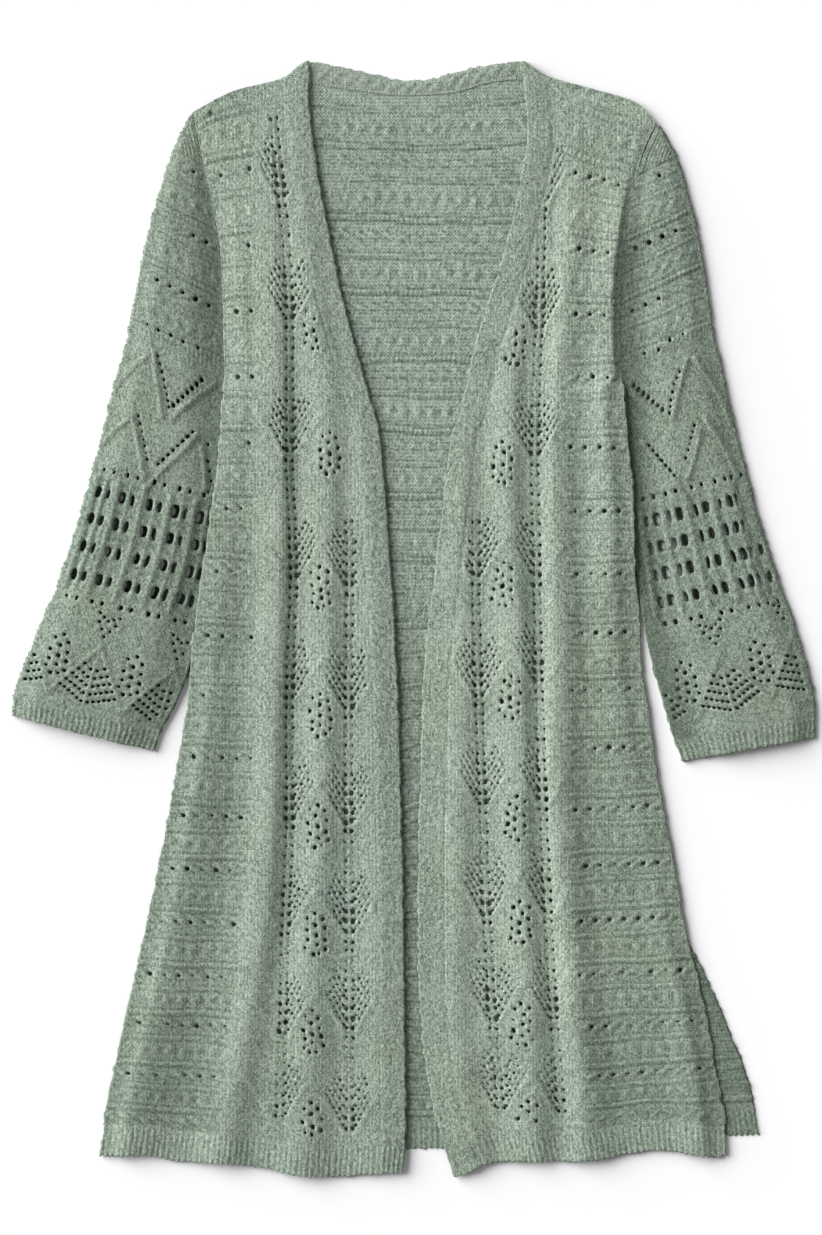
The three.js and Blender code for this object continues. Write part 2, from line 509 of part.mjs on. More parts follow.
// The back lies on the surface. Its welts show as ribs between grooves on the upper side of the wall.
const grooveDepth = 0.7;
const lowestGroovedRow = 110;
const backSteps = 8;
const backInnerSteps = 6;
const backHemSteps = 24;
const backInnerHemSteps = 12;
const backRibTop = { right: -428, left: -419 };
const backHem = { right: -454, left: -445 };
function backPanel(name, color) {
  const { right, left } = sides;
  const leftStations = stations(left, 'side', backLeftLine);
  const outer = [];
  const inner = [];
  const rowPoints = (row, count, isFirst) => {
    const rightX = sideX(right, row.rightSide);
    const leftX = at(leftStations, 'y', row.leftSide, 'x');
    const from = rightX + climbEnd;
    const to = leftX - climbEnd;
    const even = Array.from({ length: count - 1 }, (unused, i) => mix(from, to, (i + 1) / count));
    const middle = isFirst ? shoulderPlaces : even;
    const places = [
      ...sideSteps.map((distance) => rightX + distance),
      ...middle,
      ...[...sideSteps].reverse().map((distance) => leftX - distance),
    ];
    const rightEdgeX = edgeX(right, row.rightEdge);
    const leftEdgeX = edgeX(left, row.leftEdge);
    const heights = [
      { x: rightX, y: row.rightSide }, { x: rightEdgeX, y: row.rightEdge },
      { x: leftEdgeX, y: row.leftEdge }, { x: leftX, y: row.leftSide },
    ];
    return places.map((x) => {
      const isShoulder = Math.abs(x) > neckHalfWidth;
      const topY = isShoulder ? at(shoulderLine, 'x', x, 'y') : at(neckLine, 'x', x, 'y') - seamGap;
      const y = isFirst ? topY : at(heights, 'x', x, 'y');
      const z = climb(row.rightRise, x - rightX) + climb(row.leftRise, leftX - x);
      const point = new THREE.Vector3(x, y, z);
      point.isShown = x > rightEdgeX && x < leftEdgeX;
      return point;
    });
  };
  const top = (points, isGroove) => points.map((point) => {
    const sink = isGroove && point.isShown ? grooveDepth : 0;
    return new THREE.Vector3(point.x, point.y, point.z + clothThickness - sink);
  });
  bodyRows.forEach((row, index) => {
    const grooved = row.welt && row.rightSide > lowestGroovedRow;
    const shifted = (shift) => ({
      ...row,
      rightSide: row.rightSide + shift, leftSide: row.leftSide + shift,
      rightEdge: row.rightEdge + shift, leftEdge: row.leftEdge + shift,
      rightRise: at(bodyRows, 'rightSide', row.rightSide + shift, 'rightRise'),
      leftRise: at(bodyRows, 'leftSide', row.leftSide + shift, 'leftRise'),
    });
    const neckline = index === 0;
    if (grooved) outer.push(top(rowPoints(shifted(weltHalfWidth), backSteps, false), false));
    outer.push(top(rowPoints(row, backSteps, neckline), grooved));
    if (grooved) outer.push(top(rowPoints(shifted(-weltHalfWidth), backSteps, false), false));
    inner.push(rowPoints(row, backInnerSteps, neckline));
  });
  const hem = (drop, placesFor) => {
    const rightY = mix(backRibTop.right, backHem.right, drop);
    const leftY = mix(backRibTop.left, backHem.left, drop);
    const rightX = at(rightSideLine, 'y', rightY, 'x') + 1;
    const leftX = at(backLeftLine, 'y', leftY, 'x');
    return placesFor(rightX, leftX).map(({ place, crest }) => {
      const y = at(backHemLine, 'x', place, 'y') + hemRibLength * (1 - drop);
      return new THREE.Vector3(place, y, crest);
    });
  };
  const plain = (count) => (from, to) => Array.from({ length: count + 1 }, (unused, i) => ({
    place: mix(from, to, i / count), crest: 0,
  }));
  const grooved = (from, to) => ribPlaces(from, to).map(({ place, crest }) => ({
    place, crest: (crest - 1) * ribHeight,
  }));
  outer.push(raise(hem(0, plain(backHemSteps)), clothThickness));
  outer.push(raise(hem(ribStart, grooved), clothThickness));
  outer.push(raise(hem(1, grooved), clothThickness));
  inner.push(hem(0, plain(backInnerHemSteps)));
  inner.push(hem(1, plain(backInnerHemSteps)));
  return solid(name, wall(outer, inner), color);
}

// Band at the back of the neck. Its ends run out under the front bands at the shoulder.
function backNeckBand(name, color) {
  const outer = [];
  const inner = [];
  [0, 0.5, 1].forEach((share) => {
    const rowPoints = neckPlaces.map((x) => new THREE.Vector3(
      x, mix(at(neckTopLine, 'x', x, 'y'), at(neckLine, 'x', x, 'y'), share), 0));
    const crown = share === 0.5 ? neckBandCrown : 0;
    const height = (x) => (Math.abs(x) < neckOpeningHalfWidth ? bandThickness + crown : clothThickness);
    outer.push(rowPoints.map((point) => new THREE.Vector3(point.x, point.y, height(point.x))));
    if (share !== 0.5) inner.push(rowPoints);
  });
  return solid(name, wall(outer, inner), color);
}

// Both ends of a sleeve row whose inner end is at a height up the garment
function sleeveEnds(side, rows, inner) {
  const tucked = rows.filter((row) => row.innerX === undefined);
  const last = tucked[tucked.length - 1];
  const free = rows.filter((row) => row.innerX !== undefined);
  let innerX;
  if (inner >= last.inner) {
    innerX = sideX(side, inner) + side.inward * at(tucked, 'inner', inner, 'tuck');
  } else {
    const start = { inner: last.inner, innerX: sideX(side, last.inner) + side.inward * last.tuck };
    innerX = at([start, ...free], 'inner', inner, 'innerX');
  }
  return {
    from: new THREE.Vector2(innerX, inner),
    to: new THREE.Vector2(at(rows, 'inner', inner, 'outerX'), at(rows, 'inner', inner, 'outerY')),
  };
}

// How far the sleeve's upper layer stands off its lower one across a row. It rises from under the
// body's side and falls again to the outer fold, and a narrow row rises less.
const fullPuffWidth = 90;
const tuckedRun = 9;
const bodyRun = 26;
const outerRun = 24;
const headRun = 60;
function puff(width, distance, inner, headY) {
  const room = Math.min(1, width / fullPuffWidth);
  const fromBody = smooth(distance, tuckedRun, tuckedRun + bodyRun * room);
  const fromOuter = smooth(width - distance, 0, outerRun * room);
  return sleevePuff * room * fromBody * fromOuter * smooth(headY - inner, 0, headRun);
}

// One layer of a sleeve. The upper one carries welts, zigzag ridges and a ribbed cuff; the lower one lies
// flat and plain. Both are cut through by the lattice.
const upperSteps = 7;
const lowerSteps = 4;
const cuffSteps = 8;
const ribTopFade = 1.5;
const zigzagEnds = { bodyFrom: 0.12, bodyTo: 0.2, outerFrom: 0.02, outerTo: 0.12 };
const holeShape = { headWaist: 0.6, footWaist: 0.75, widestAt: 0.45 };
function sleeveLayer(name, side, rows, zigzag, holeCentres, isTop, color) {
  const outer = [];
  const inner = [];
  const holes = [];
  const baseZ = isTop ? frontZ : 0;
  const place = (v, share, drop = 0) => {
    const { from, to } = sleeveEnds(side, rows, v - drop);
    const width = from.distanceTo(to);
    const point = from.clone().lerp(to, share);
    const z = isTop ? puff(width, width * share, v - drop, rows[0].inner) : 0;
    return new THREE.Vector3(point.x, point.y, baseZ + z);
  };
  const shares = (count) => Array.from({ length: count + 1 }, (unused, i) => i / count);
  const add = (points, relief, alsoInner = true) => {
    outer.push(points.map((point, i) => new THREE.Vector3(
      point.x, point.y, point.z + clothThickness + relief(i))));
    if (alsoInner) inner.push(points);
  };
  const plainCount = isTop ? upperSteps : lowerSteps;
  const plainRow = (v) => shares(plainCount).map((share) => place(v, share));
  const flat = () => 0;
  const between = (share) => smooth(share, zigzagEnds.bodyFrom, zigzagEnds.bodyTo)
    * smooth(1 - share, zigzagEnds.outerFrom, zigzagEnds.outerTo);
  const zigShares = [0, ...zigzag.slice(0, -1).flatMap((step, i) => [
    mix(step.across, zigzag[i + 1].across, 0.5), zigzag[i + 1].across])];
  const zigRow = (v) => zigShares.map((share) => place(v, share, at(zigzag, 'across', share, 'drop')));
  rows.forEach((row) => {
    if (row.form === 'welt' && isTop) {
      add(plainRow(row.inner + weltHalfWidth), flat, false);
      add(plainRow(row.inner), (i) => weltHeight * (i > 0 && i < plainCount ? 1 : 0));
      add(plainRow(row.inner - weltHalfWidth), flat, false);
    } else if (row.form === 'zigzag' && isTop) {
      add(zigRow(row.inner), flat, false);
      add(zigRow(row.inner - zigzagHalfWidth), (i) => zigzagHeight * between(zigShares[i]));
      add(zigRow(row.inner - 2 * zigzagHalfWidth), flat, false);
    } else if (row.form === 'zigzag valley' && isTop) {
      add(zigRow(row.inner), flat);
    } else if (row.form === 'lattice') {
      addLattice(row.inner);
    } else if (row.form === 'rib' && isTop) {
      add(shares(cuffSteps).map((share) => place(row.inner, share)), flat);
      [row.inner - ribTopFade, rows[rows.length - 1].inner].forEach((v) => {
        const { from, to } = sleeveEnds(side, rows, v);
        const width = from.distanceTo(to);
        const ribs = ribPlaces(0, width);
        const crest = (i) => (ribs[i].crest - ribSink) * ribHeight;
        add(ribs.map((rib) => place(v, rib.place / width)), crest, false);
      });
      inner.push(shares(cuffSteps).map((share) => place(rows[rows.length - 1].inner, share)));
    } else if (row.form !== 'end' || !isTop) {
      add(plainRow(row.inner), flat);
    }
  });

  // Rows of open holes in pairs. Each hole is narrower at its head and foot on the upper layer.
  function addLattice(kink) {
    for (let k = 0; k < latticeRowsOfHoles; k += 1) {
      const lower = kink + latticeRowPitch * (1 - k);
      const head = { v: lower + holeHeight, waist: isTop ? holeShape.headWaist : 1 };
      const widest = { v: lower + holeHeight * holeShape.widestAt, waist: 1 };
      const foot = { v: lower, waist: isTop ? holeShape.footWaist : 1 };
      const levels = isTop ? [head, widest, foot] : [head, foot];
      levels.forEach(({ v, waist }) => {
        const { from, to } = sleeveEnds(side, rows, v);
        const width = from.distanceTo(to);
        const edges = holeCentres.flatMap((centre) => [-0.5, 0.5].flatMap((pair) => (
          [-0.5, 0.5].map((edge) => centre + (pair * holePairSpacing + edge * holeWidth * waist) / width))));
        add([0, ...edges, 1].map((share) => place(v, share)), flat);
      });
      const firstOuter = outer.length - levels.length;
      const firstInner = inner.length - levels.length;
      for (let hole = 0; hole < holeCentres.length * 2; hole += 1) {
        for (let r = 0; r < levels.length - 1; r += 1) {
          holes.push({ outerRow: firstOuter + r, innerRow: firstInner + r, column: 1 + hole * 2 });
        }
      }
    }
  }
  return solid(name, wall(outer, inner, holes), color);
}

const sage = { back: 0x7f9080, front: 0x93a693, band: 0x8a9d8c, sleeve: 0x86998a, under: 0x6f8070 };
// The lower layer's holes lie between those of the upper one
const offsetPairs = (pairs) => pairs.slice(1).map((centre, i) => (centre + pairs[i]) / 2);
const cardigan = new THREE.Group();
cardigan.add(
  backPanel('back_panel', sage.back),
  backNeckBand('back_neck_band', sage.band),
  frontPanel('right_front', sides.right, sage.front),
  frontBand('right_front_band', sides.right, sage.band),
  frontPanel('left_front', sides.left, sage.front),
  frontBand('left_front_band', sides.left, sage.band),
  sleeveLayer('right_sleeve_top', sides.right, rightSleeveRows, rightZigzag, rightHolePairs, true, sage.sleeve),
  sleeveLayer('right_sleeve_under', sides.right, rightSleeveRows, rightZigzag, offsetPairs(rightHolePairs),
    false, sage.under),
  sleeveLayer('left_sleeve_top', sides.left, leftSleeveRows, leftZigzag, leftHolePairs, true, sage.sleeve),
  sleeveLayer('left_sleeve_under', sides.left, leftSleeveRows, leftZigzag, offsetPairs(leftHolePairs),
    false, sage.under),
);

// The origin is at the middle of the garment's box, on the surface it lies on
const box = new THREE.Box3().setFromObject(cardigan);
const middle = box.getCenter(new THREE.Vector3());
cardigan.children.forEach((mesh) => mesh.geometry.translate(-middle.x, -middle.y, -box.min.z));

export default cardigan;
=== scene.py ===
import bpy
import numpy as np
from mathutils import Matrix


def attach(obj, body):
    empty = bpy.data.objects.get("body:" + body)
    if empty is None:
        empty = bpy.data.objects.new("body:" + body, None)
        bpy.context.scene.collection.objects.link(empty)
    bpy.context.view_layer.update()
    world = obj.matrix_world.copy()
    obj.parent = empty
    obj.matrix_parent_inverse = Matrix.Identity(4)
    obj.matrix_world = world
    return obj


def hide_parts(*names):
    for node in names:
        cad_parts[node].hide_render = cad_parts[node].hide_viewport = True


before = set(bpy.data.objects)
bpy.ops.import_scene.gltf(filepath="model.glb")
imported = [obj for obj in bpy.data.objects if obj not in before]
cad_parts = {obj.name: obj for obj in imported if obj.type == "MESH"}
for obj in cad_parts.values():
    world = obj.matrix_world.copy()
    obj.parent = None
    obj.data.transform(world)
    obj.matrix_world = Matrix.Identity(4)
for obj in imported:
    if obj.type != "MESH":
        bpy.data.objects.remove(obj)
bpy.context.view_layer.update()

# Back
# One knitted panel, wrong side up on the table, seen in the open V, between the fronts and at the vent.
# Its neck is linked to the band and its hem ends in ribs. Places and sizes are in millimetres, from the
# middle of the garment.
cloth = 2.2
seam_gap = 0.3
table_shift = np.array([0.65, -0.19, 0.0])
rib_pitch = 4.8
hem_rib = 26.0
edge_roll = 1.1
first_welt = 0.25
last_welt = 17.4

# Heights up the garment of each welt at both side seams and both opening edges. Welt 1 is the first
# below the shoulder.
body_welts = {
    "welt": [first_welt, *range(1, 18), last_welt],
    "right_side": [438, 394, 333, 278, 222, 165, 108, 54, -2, -54, -107, -158, -205, -250, -297, -339,
                   -383, -422, -438],
    "right_edge": [482, 421, 347, 285, 224, 165, 107, 52, -6, -59, -113, -165, -213, -259, -307, -349,
                   -394, -435, -453],
    "left_edge": [482, 417, 344, 281, 225, 162, 106, 50, -4, -55, -106, -159, -209, -257, -305, -351,
                  -396, -436, -453],
    "left_side": [428, 385, 328, 273, 222, 161, 106, 51, 0, -49, -98, -150, -199, -246, -292, -337,
                  -379, -416, -438],
}
# Side seams, the back's left edge and the opening edges, as x at a height y
right_side_line = {
    "y": [438, 414, 380, 358, 316, 260, 214, 163, 120, 68, 4, -33, -66, -123, -174, -244, -330, -417, -464],
    "x": [-192, -187, -180, -175, -168, -166, -165, -167, -171, -179, -188, -193, -195, -204, -213, -227,
          -246, -265, -273],
}
left_side_line = {
    "y": [428, 410, 395, 362, 330, 295, 260, 214, 168, 97, 45, 4, -43, -78, -124, -177, -220, -280, -316,
          -354, -391, -439, -462],
    "x": [210, 202, 196, 187, 182, 178, 177, 179, 183, 189, 190, 194, 196, 202, 208, 217, 225, 236, 246,
          254, 260, 269, 270],
}
back_left_line = {
    "y": left_side_line["y"][:17] + [-276, -306, -354, -401, -441],
    "x": left_side_line["x"][:17] + [236, 251, 271, 289, 298],
}
right_edge_line = {
    "y": [482, 454, 418, 377, 331, 286, 240, 200, 159, 108, 50, -8, -66, -140, -215, -366, -429, -479],
    "x": [-91, -91, -88, -82, -73, -64, -52, -41, -30, -25, -21, -17, -14, -12, -10, -8, -7, -10],
}
left_edge_line = {
    "y": [482, 454, 418, 363, 317, 272, 227, 177, 159, 108, 73, 27, -19, -66, -140, -215, -291, -354,
          -391, -429, -454, -482],
    "x": [91, 96, 97, 88, 77, 63, 50, 39, 32, 26, 21, 16, 10, 7, 5, 3, 3, 6, 10, 18, 25, 34],
}
# Shoulders, back neck and hems, as y at a place x across
shoulder_line = {
    "x": [-192, -157, -113, -91, 91, 113, 154, 192, 210],
    "y": [438, 456, 468, 482, 482, 470, 458, 446, 428],
}
neck_line = {
    "x": [-113, -90, -55, -8, 30, 69, 91, 113],
    "y": [465.5, 464, 459, 454, 456, 466, 468, 467.5],
}
back_hem_line = {"x": [-273, -8, 180, 298], "y": [-454, -458, -452, -445]}


def ease(value, start, stop):
    """Soft step from 0 at start to 1 at stop."""
    share = np.clip((value - start) / (stop - start), 0, 1)
    return share * share * (3 - 2 * share)


def ridge(distance, half_width):
    """Rounded ridge of height 1 along distance 0."""
    return np.exp(-((distance / half_width) ** 2))


def raised(distance, size):
    """Rounded ridge along distance 0, from its height and half width."""
    height, half_width = size
    return height * ridge(distance, half_width)


def flowing(places, values):
    """Smooth line through measured places that doesn't swing past them."""
    order = np.argsort(places)
    x = np.asarray(places, float)[order]
    y = np.asarray(values, float)[order]
    step = np.diff(x)
    slope = np.diff(y) / step
    steady = slope[1:] * slope[:-1] > 0
    near = 2 * step[1:] + step[:-1]
    far = step[1:] + 2 * step[:-1]
    before = np.where(steady, slope[:-1], 1)
    after = np.where(steady, slope[1:], 1)
    lean = np.zeros_like(y)
    lean[1:-1] = np.where(steady, (near + far) / (near / before + far / after), 0)
    lean[0] = slope[0]
    lean[-1] = slope[-1]

    def line(at):
        at = np.clip(at, x[0], x[-1])
        i = np.clip(np.searchsorted(x, at) - 1, 0, len(step) - 1)
        t = (at - x[i]) / step[i]
        here = (1 + 2 * t) * (1 - t) ** 2 * y[i] + t * (1 - t) ** 2 * step[i] * lean[i]
        there = t * t * (3 - 2 * t) * y[i + 1] + t * t * (t - 1) * step[i] * lean[i + 1]
        return here + there

    return line


def drawn(table, key, value):
    """Smooth line through two columns of a table."""
    return flowing(table[key], table[value])


def soften(field, times):
    """The field with each point averaged with its neighbours, a number of times."""
    for _ in range(times):
        padded = np.pad(field, 1, mode="edge")
        field = (padded[:-2, 1:-1] + padded[2:, 1:-1] + padded[1:-1, :-2] + padded[1:-1, 2:]
                 + 2 * field) / 6
    return field


grain_cells = 256
grains_per_wale = 2
grains_per_course = 1.3


def yarn_grain(wales, courses, seed):
    """Uneven loops of the yarn: a random height for each half stitch, blended between them."""
    table = np.random.default_rng(seed).uniform(-1, 1, (grain_cells + 1, grain_cells + 1))
    u = wales * grains_per_wale % grain_cells
    v = courses * grains_per_course % grain_cells
    i = u.astype(int)
    j = v.astype(int)
    s = ease(u - i, 0, 1)
    t = ease(v - j, 0, 1)
    low = table[i, j] * (1 - s) + table[i + 1, j] * s
    high = table[i, j + 1] * (1 - s) + table[i + 1, j + 1] * s
    return low * (1 - t) + high * t


hill_lengths = (46, 61, 83, 117)


def slow_waves(x, y, seed):
    """Small hills and hollows of cloth that was laid down by hand, a few centimetres apart."""
    dice = np.random.default_rng(seed)
    total = np.zeros_like(x)
    for length in hill_lengths:
        turn, shift = dice.uniform(0, 2 * np.pi, 2)
        total += np.sin((x * np.cos(turn) + y * np.sin(turn)) * 2 * np.pi / length + shift)
    return total / len(hill_lengths)


roll_angles = np.radians((30, 60, 90))
edge_wobble = 1.05
fine_wobble = 0.6
fine_wobble_seed = 71
coarse_grain = 0.3
coarse_wobble_seed = 72


def rolled(grid, end, reach, drop):
    """The grid with its edge turned down in an uneven quarter round. A grid holds x, y, z, wale and
    course."""
    axis = 0 if end in ("top", "bottom") else 1
    first = end in ("top", "left")
    edge = grid.take(0 if first else -1, axis)
    inner = grid.take(1 if first else -2, axis)
    out = edge[..., :2] - inner[..., :2]
    out /= np.maximum(np.linalg.norm(out, axis=-1, keepdims=True), 1e-6)
    wale = edge[..., 3]
    course = edge[..., 4]
    bumps = fine_wobble * yarn_grain(wale, course, fine_wobble_seed)
    bumps += yarn_grain(wale * coarse_grain, course * coarse_grain, coarse_wobble_seed)
    reach = (reach + edge_wobble * bumps * np.minimum(np.asarray(reach), 1))[..., None]
    rings = []
    for angle in roll_angles:
        ring = edge.copy()
        ring[..., :2] += out * reach * np.sin(angle)
        ring[..., 2] -= drop * (1 - np.cos(angle))
        ring[..., 3:] += (edge - inner)[..., 3:] * angle
        rings.append(np.expand_dims(ring, axis))
    if first:
        return np.concatenate([*rings[::-1], grid], axis)
    return np.concatenate([grid, *rings], axis)


hole_search = 6
hole_window = 16
hole_margin = 5
wide_hole = 2.5
cell_opens_within = 1.02
lone_cell_within = 1.3
rim_dip = 0.45
rim_swell = 0.16
rim_swell_distance = 1.9
rim_width = 0.9


def open_eyelets(grid, eyelets):
    """Cells of the grid that open as eyelets, each (x, y, half_width, half_height, lean), its rim drawn
    to an ellipse and dipped as the yarn round a hole is. Returns the open cells and each rim's way out."""
    rows, columns = grid.shape[:2]
    gone = np.zeros((rows - 1, columns - 1), bool)
    way_out = np.zeros((rows, columns, 2))
    x = grid[..., 0]
    y = grid[..., 1]
    coarse_x = x[::hole_search, ::hole_search]
    coarse_y = y[::hole_search, ::hole_search]
    for eyelet_x, eyelet_y, half_width, half_height, lean in eyelets:
        nearest = np.argmin((coarse_x - eyelet_x) ** 2 + (coarse_y - eyelet_y) ** 2)
        row, column = (place * hole_search for place in np.unravel_index(nearest, coarse_x.shape))
        r = slice(max(row - hole_window, 0), min(row + hole_window, rows))
        c = slice(max(column - hole_window, 0), min(column + hole_window, columns))
        dx = x[r, c] - eyelet_x
        dy = y[r, c] - eyelet_y
        across = (dx * np.cos(lean) + dy * np.sin(lean)) / half_width
        along = (dy * np.cos(lean) - dx * np.sin(lean)) / half_height
        power = 3 if half_width > wide_hole else 2
        q = np.maximum((np.abs(across) ** power + np.abs(along) ** power) ** (1 / power), 1e-3)
        middle = (q[:-1, :-1] + q[1:, :-1] + q[:-1, 1:] + q[1:, 1:]) / 4
        opened = middle < cell_opens_within
        if not opened.any() and q.min() < lone_cell_within:
            opened.flat[np.argmin(middle)] = True
        outside = np.ones((rows - 1, columns - 1), bool)
        outside[hole_margin:-hole_margin, hole_margin:-hole_margin] = False
        if not opened.any() or (opened & outside[r.start:r.stop - 1, c.start:c.stop - 1]).any():
            continue
        gone[r.start:r.stop - 1, c.start:c.stop - 1] |= opened
        around = np.pad(opened, 1).astype(int)
        touching = around[:-1, :-1] + around[1:, :-1] + around[:-1, 1:] + around[1:, 1:]
        rim = (touching > 0) & (touching < 4)
        grid[r, c, 0] += np.where(rim, dx * (1 / q - 1), 0)
        grid[r, c, 1] += np.where(rim, dy * (1 / q - 1), 0)
        q = np.where(rim, 1, q)
        from_rim = (q - 1) * half_width
        dip = rim_dip * min(half_width, wide_hole) ** 0.5
        grid[r, c, 2] -= dip * ridge(np.maximum(q - 1, 0) * half_width, rim_width)
        grid[r, c, 2] += rim_swell * ridge(from_rim - rim_swell_distance, rim_width)
        length = np.maximum(np.hypot(dx, dy), 1e-6)
        way_out[r, c] = np.where(rim[..., None], np.dstack([dx, dy]) / length[..., None], way_out[r, c])
    return gone, way_out


skirt_depth = 1.7
skirt_tuck = 0.35
table_gap = 0.12
facing_sample = 50


def knit_piece(name, patches):
    """One mesh of one or more patches, each (grid, eyelets, painted shade), with its stitches as a UV map
    and its painted shade as a colour attribute. A short skirt of cloth hangs down inside each eyelet's rim."""
    points, faces, stitches, painted_shades = [], [], [], []
    count = 0
    for grid, eyelets, painted_shade in patches:
        gone, way_out = open_eyelets(grid, eyelets)
        grid[..., 2] = np.maximum(grid[..., 2], table_gap)
        rows, columns = grid.shape[:2]
        index = np.arange(rows * columns).reshape(rows, columns)
        corners = [index[:-1, :-1], index[1:, :-1], index[1:, 1:], index[:-1, 1:]]
        quads = np.stack([corner[~gone] for corner in corners], 1)
        skirt = grid.copy()
        skirt[..., :2] += way_out * skirt_tuck
        skirt[..., 2] = np.maximum(skirt[..., 2] - skirt_depth, table_gap)
        below = index + rows * columns
        rims = []
        solid = np.pad(~gone, 1)
        hole = np.pad(gone, 1)
        upper = hole[:-1, 1:-1] & solid[1:, 1:-1]
        lower = solid[:-1, 1:-1] & hole[1:, 1:-1]
        left = hole[1:-1, :-1] & solid[1:-1, 1:]
        right = solid[1:-1, :-1] & hole[1:-1, 1:]
        for open_side, a, b in ((upper, index[:, :-1], index[:, 1:]), (lower, index[:, 1:], index[:, :-1]),
                                (left, index[1:, :], index[:-1, :]), (right, index[:-1, :], index[1:, :])):
            start = a[open_side]
            stop = b[open_side]
            rims.append(np.stack([start, stop, below.flat[stop], below.flat[start]], 1))
        quads = np.concatenate([quads, *rims])
        both = np.concatenate([grid.reshape(-1, 5), skirt.reshape(-1, 5)])
        # The skirts inside the eyelets are painted fully shaded
        dark = np.concatenate([painted_shade.ravel(), np.ones(painted_shade.size)])
        used = np.unique(quads)
        renumber = np.zeros(len(both), int)
        renumber[used] = np.arange(len(used)) + count
        quads = renumber[quads]
        a, b, d = (both[used][quads[:facing_sample, i] - count, :3] for i in (0, 1, 3))
        if np.cross(b - a, d - a)[:, 2].sum() < 0:
            quads = quads[:, ::-1]
        points.append(both[used])
        faces.append(quads)
        painted_shades.append(dark[used])
        count += len(used)
    points = np.concatenate(points)
    faces = np.concatenate(faces)
    mesh = bpy.data.meshes.new(name)
    mesh.from_pydata(((points[:, :3] + table_shift) / 1000).tolist(), [], faces.tolist())
    mesh.polygons.foreach_set("use_smooth", np.ones(len(faces), bool))
    stitches = points[faces.ravel(), 3:5]
    mesh.uv_layers.new(name="stitches").data.foreach_set("uv", stitches.astype(np.float32).ravel())
    # Painted shade, stored on the mesh for the material
    shade = np.concatenate(painted_shades)
    colours = np.stack([shade, shade, shade, np.ones_like(shade)], 1).astype(np.float32)
    mesh.color_attributes.new("painted_shade", "FLOAT_COLOR", "POINT").data.foreach_set("color", colours.ravel())
    mesh.update()
    piece = bpy.data.objects.new(name, mesh)
    bpy.context.scene.collection.objects.link(piece)
    return piece


# Painted shade on rolled edges, and the crease depth at which the painted shade is full
painted_roll_shade = 0.42
full_shade_depth = 0.55


def crease_shade_of(relief, spread=6):
    """How far each point lies below the knit round it, from 0 to 1, as painted shade for its creases."""
    return np.clip((soften(relief, spread) - relief) / full_shade_depth, 0, 1)


def with_rolls(painted_shade, ends, shade=painted_roll_shade):
    """A map of painted shade with the rings of the rolled ends added, each painted as dark as shade."""
    rings = len(roll_angles)
    pads = [(rings * ("top" in ends), rings * ("bottom" in ends)),
            (rings * ("left" in ends), rings * ("right" in ends))]
    return np.pad(painted_shade, pads, constant_values=shade)


def dye(red, green, blue):
    """A yarn's colour from its screen values, with alpha."""
    tone = np.array([red, green, blue]) / 255
    return (*np.where(tone <= 0.04045, tone / 12.92, ((tone + 0.055) / 1.055) ** 2.4), 1)


def calculated(tree, operation, *values):
    """Output of a math node fed with sockets or numbers."""
    made = tree.nodes.new("ShaderNodeMath")
    made.operation = operation
    for socket, value in zip(made.inputs, values):
        if isinstance(value, (int, float)):
            socket.default_value = value
        else:
            tree.links.new(value, socket)
    return made.outputs[0]


def blended(tree, factor, first, second, mode="MIX"):
    """Output of a colour mix node fed with sockets, numbers or colours."""
    made = tree.nodes.new("ShaderNodeMix")
    made.data_type = "RGBA"
    made.blend_type = mode
    for socket, value in zip((made.inputs[0], made.inputs[6], made.inputs[7]), (factor, first, second)):
        if isinstance(value, bpy.types.NodeSocket):
            tree.links.new(value, socket)
        else:
            socket.default_value = value
    return made.outputs[2]


# Noise of the yarn, each with its scale in a metre, detail and roughness
yarn_noise = {
    "fibre": (800.0, 3.0, 0.7),
    "clumps": (430.0, 2.0, 0.6),
    "cloud": (21.0, 3.0, 0.55),
    "tint": (9.0, 2.0, 0.5),
}
# How much each makes the yarn lighter, and how far it stands out. The loops' shape is painted as shade,
# lighter on the loops and darker between them.
loop_contrast = 0.44
fibre_contrast = 2.1
clump_contrast = 1.1
painted_loop_shade = 0.3
cloud_contrast = 0.35
fibre_height = 1.1
clump_height = 0.6
shape_height = 0.8
mean_shape = 0.62
stitch_slant = -1.3
loop_roundness = 0.6
purl_arch = 0.22
tint_contrast = 1.8
tint_margin = 0.02
warm_tint = (1.03, 1.02, 0.9, 1)
cool_tint = (0.93, 0.99, 1.07, 1)
# Painted shade: the colour that shaded places are darkened towards, and how far
painted_shade_colour = (0.4, 0.44, 0.4, 1)
painted_shade_strength = 0.85


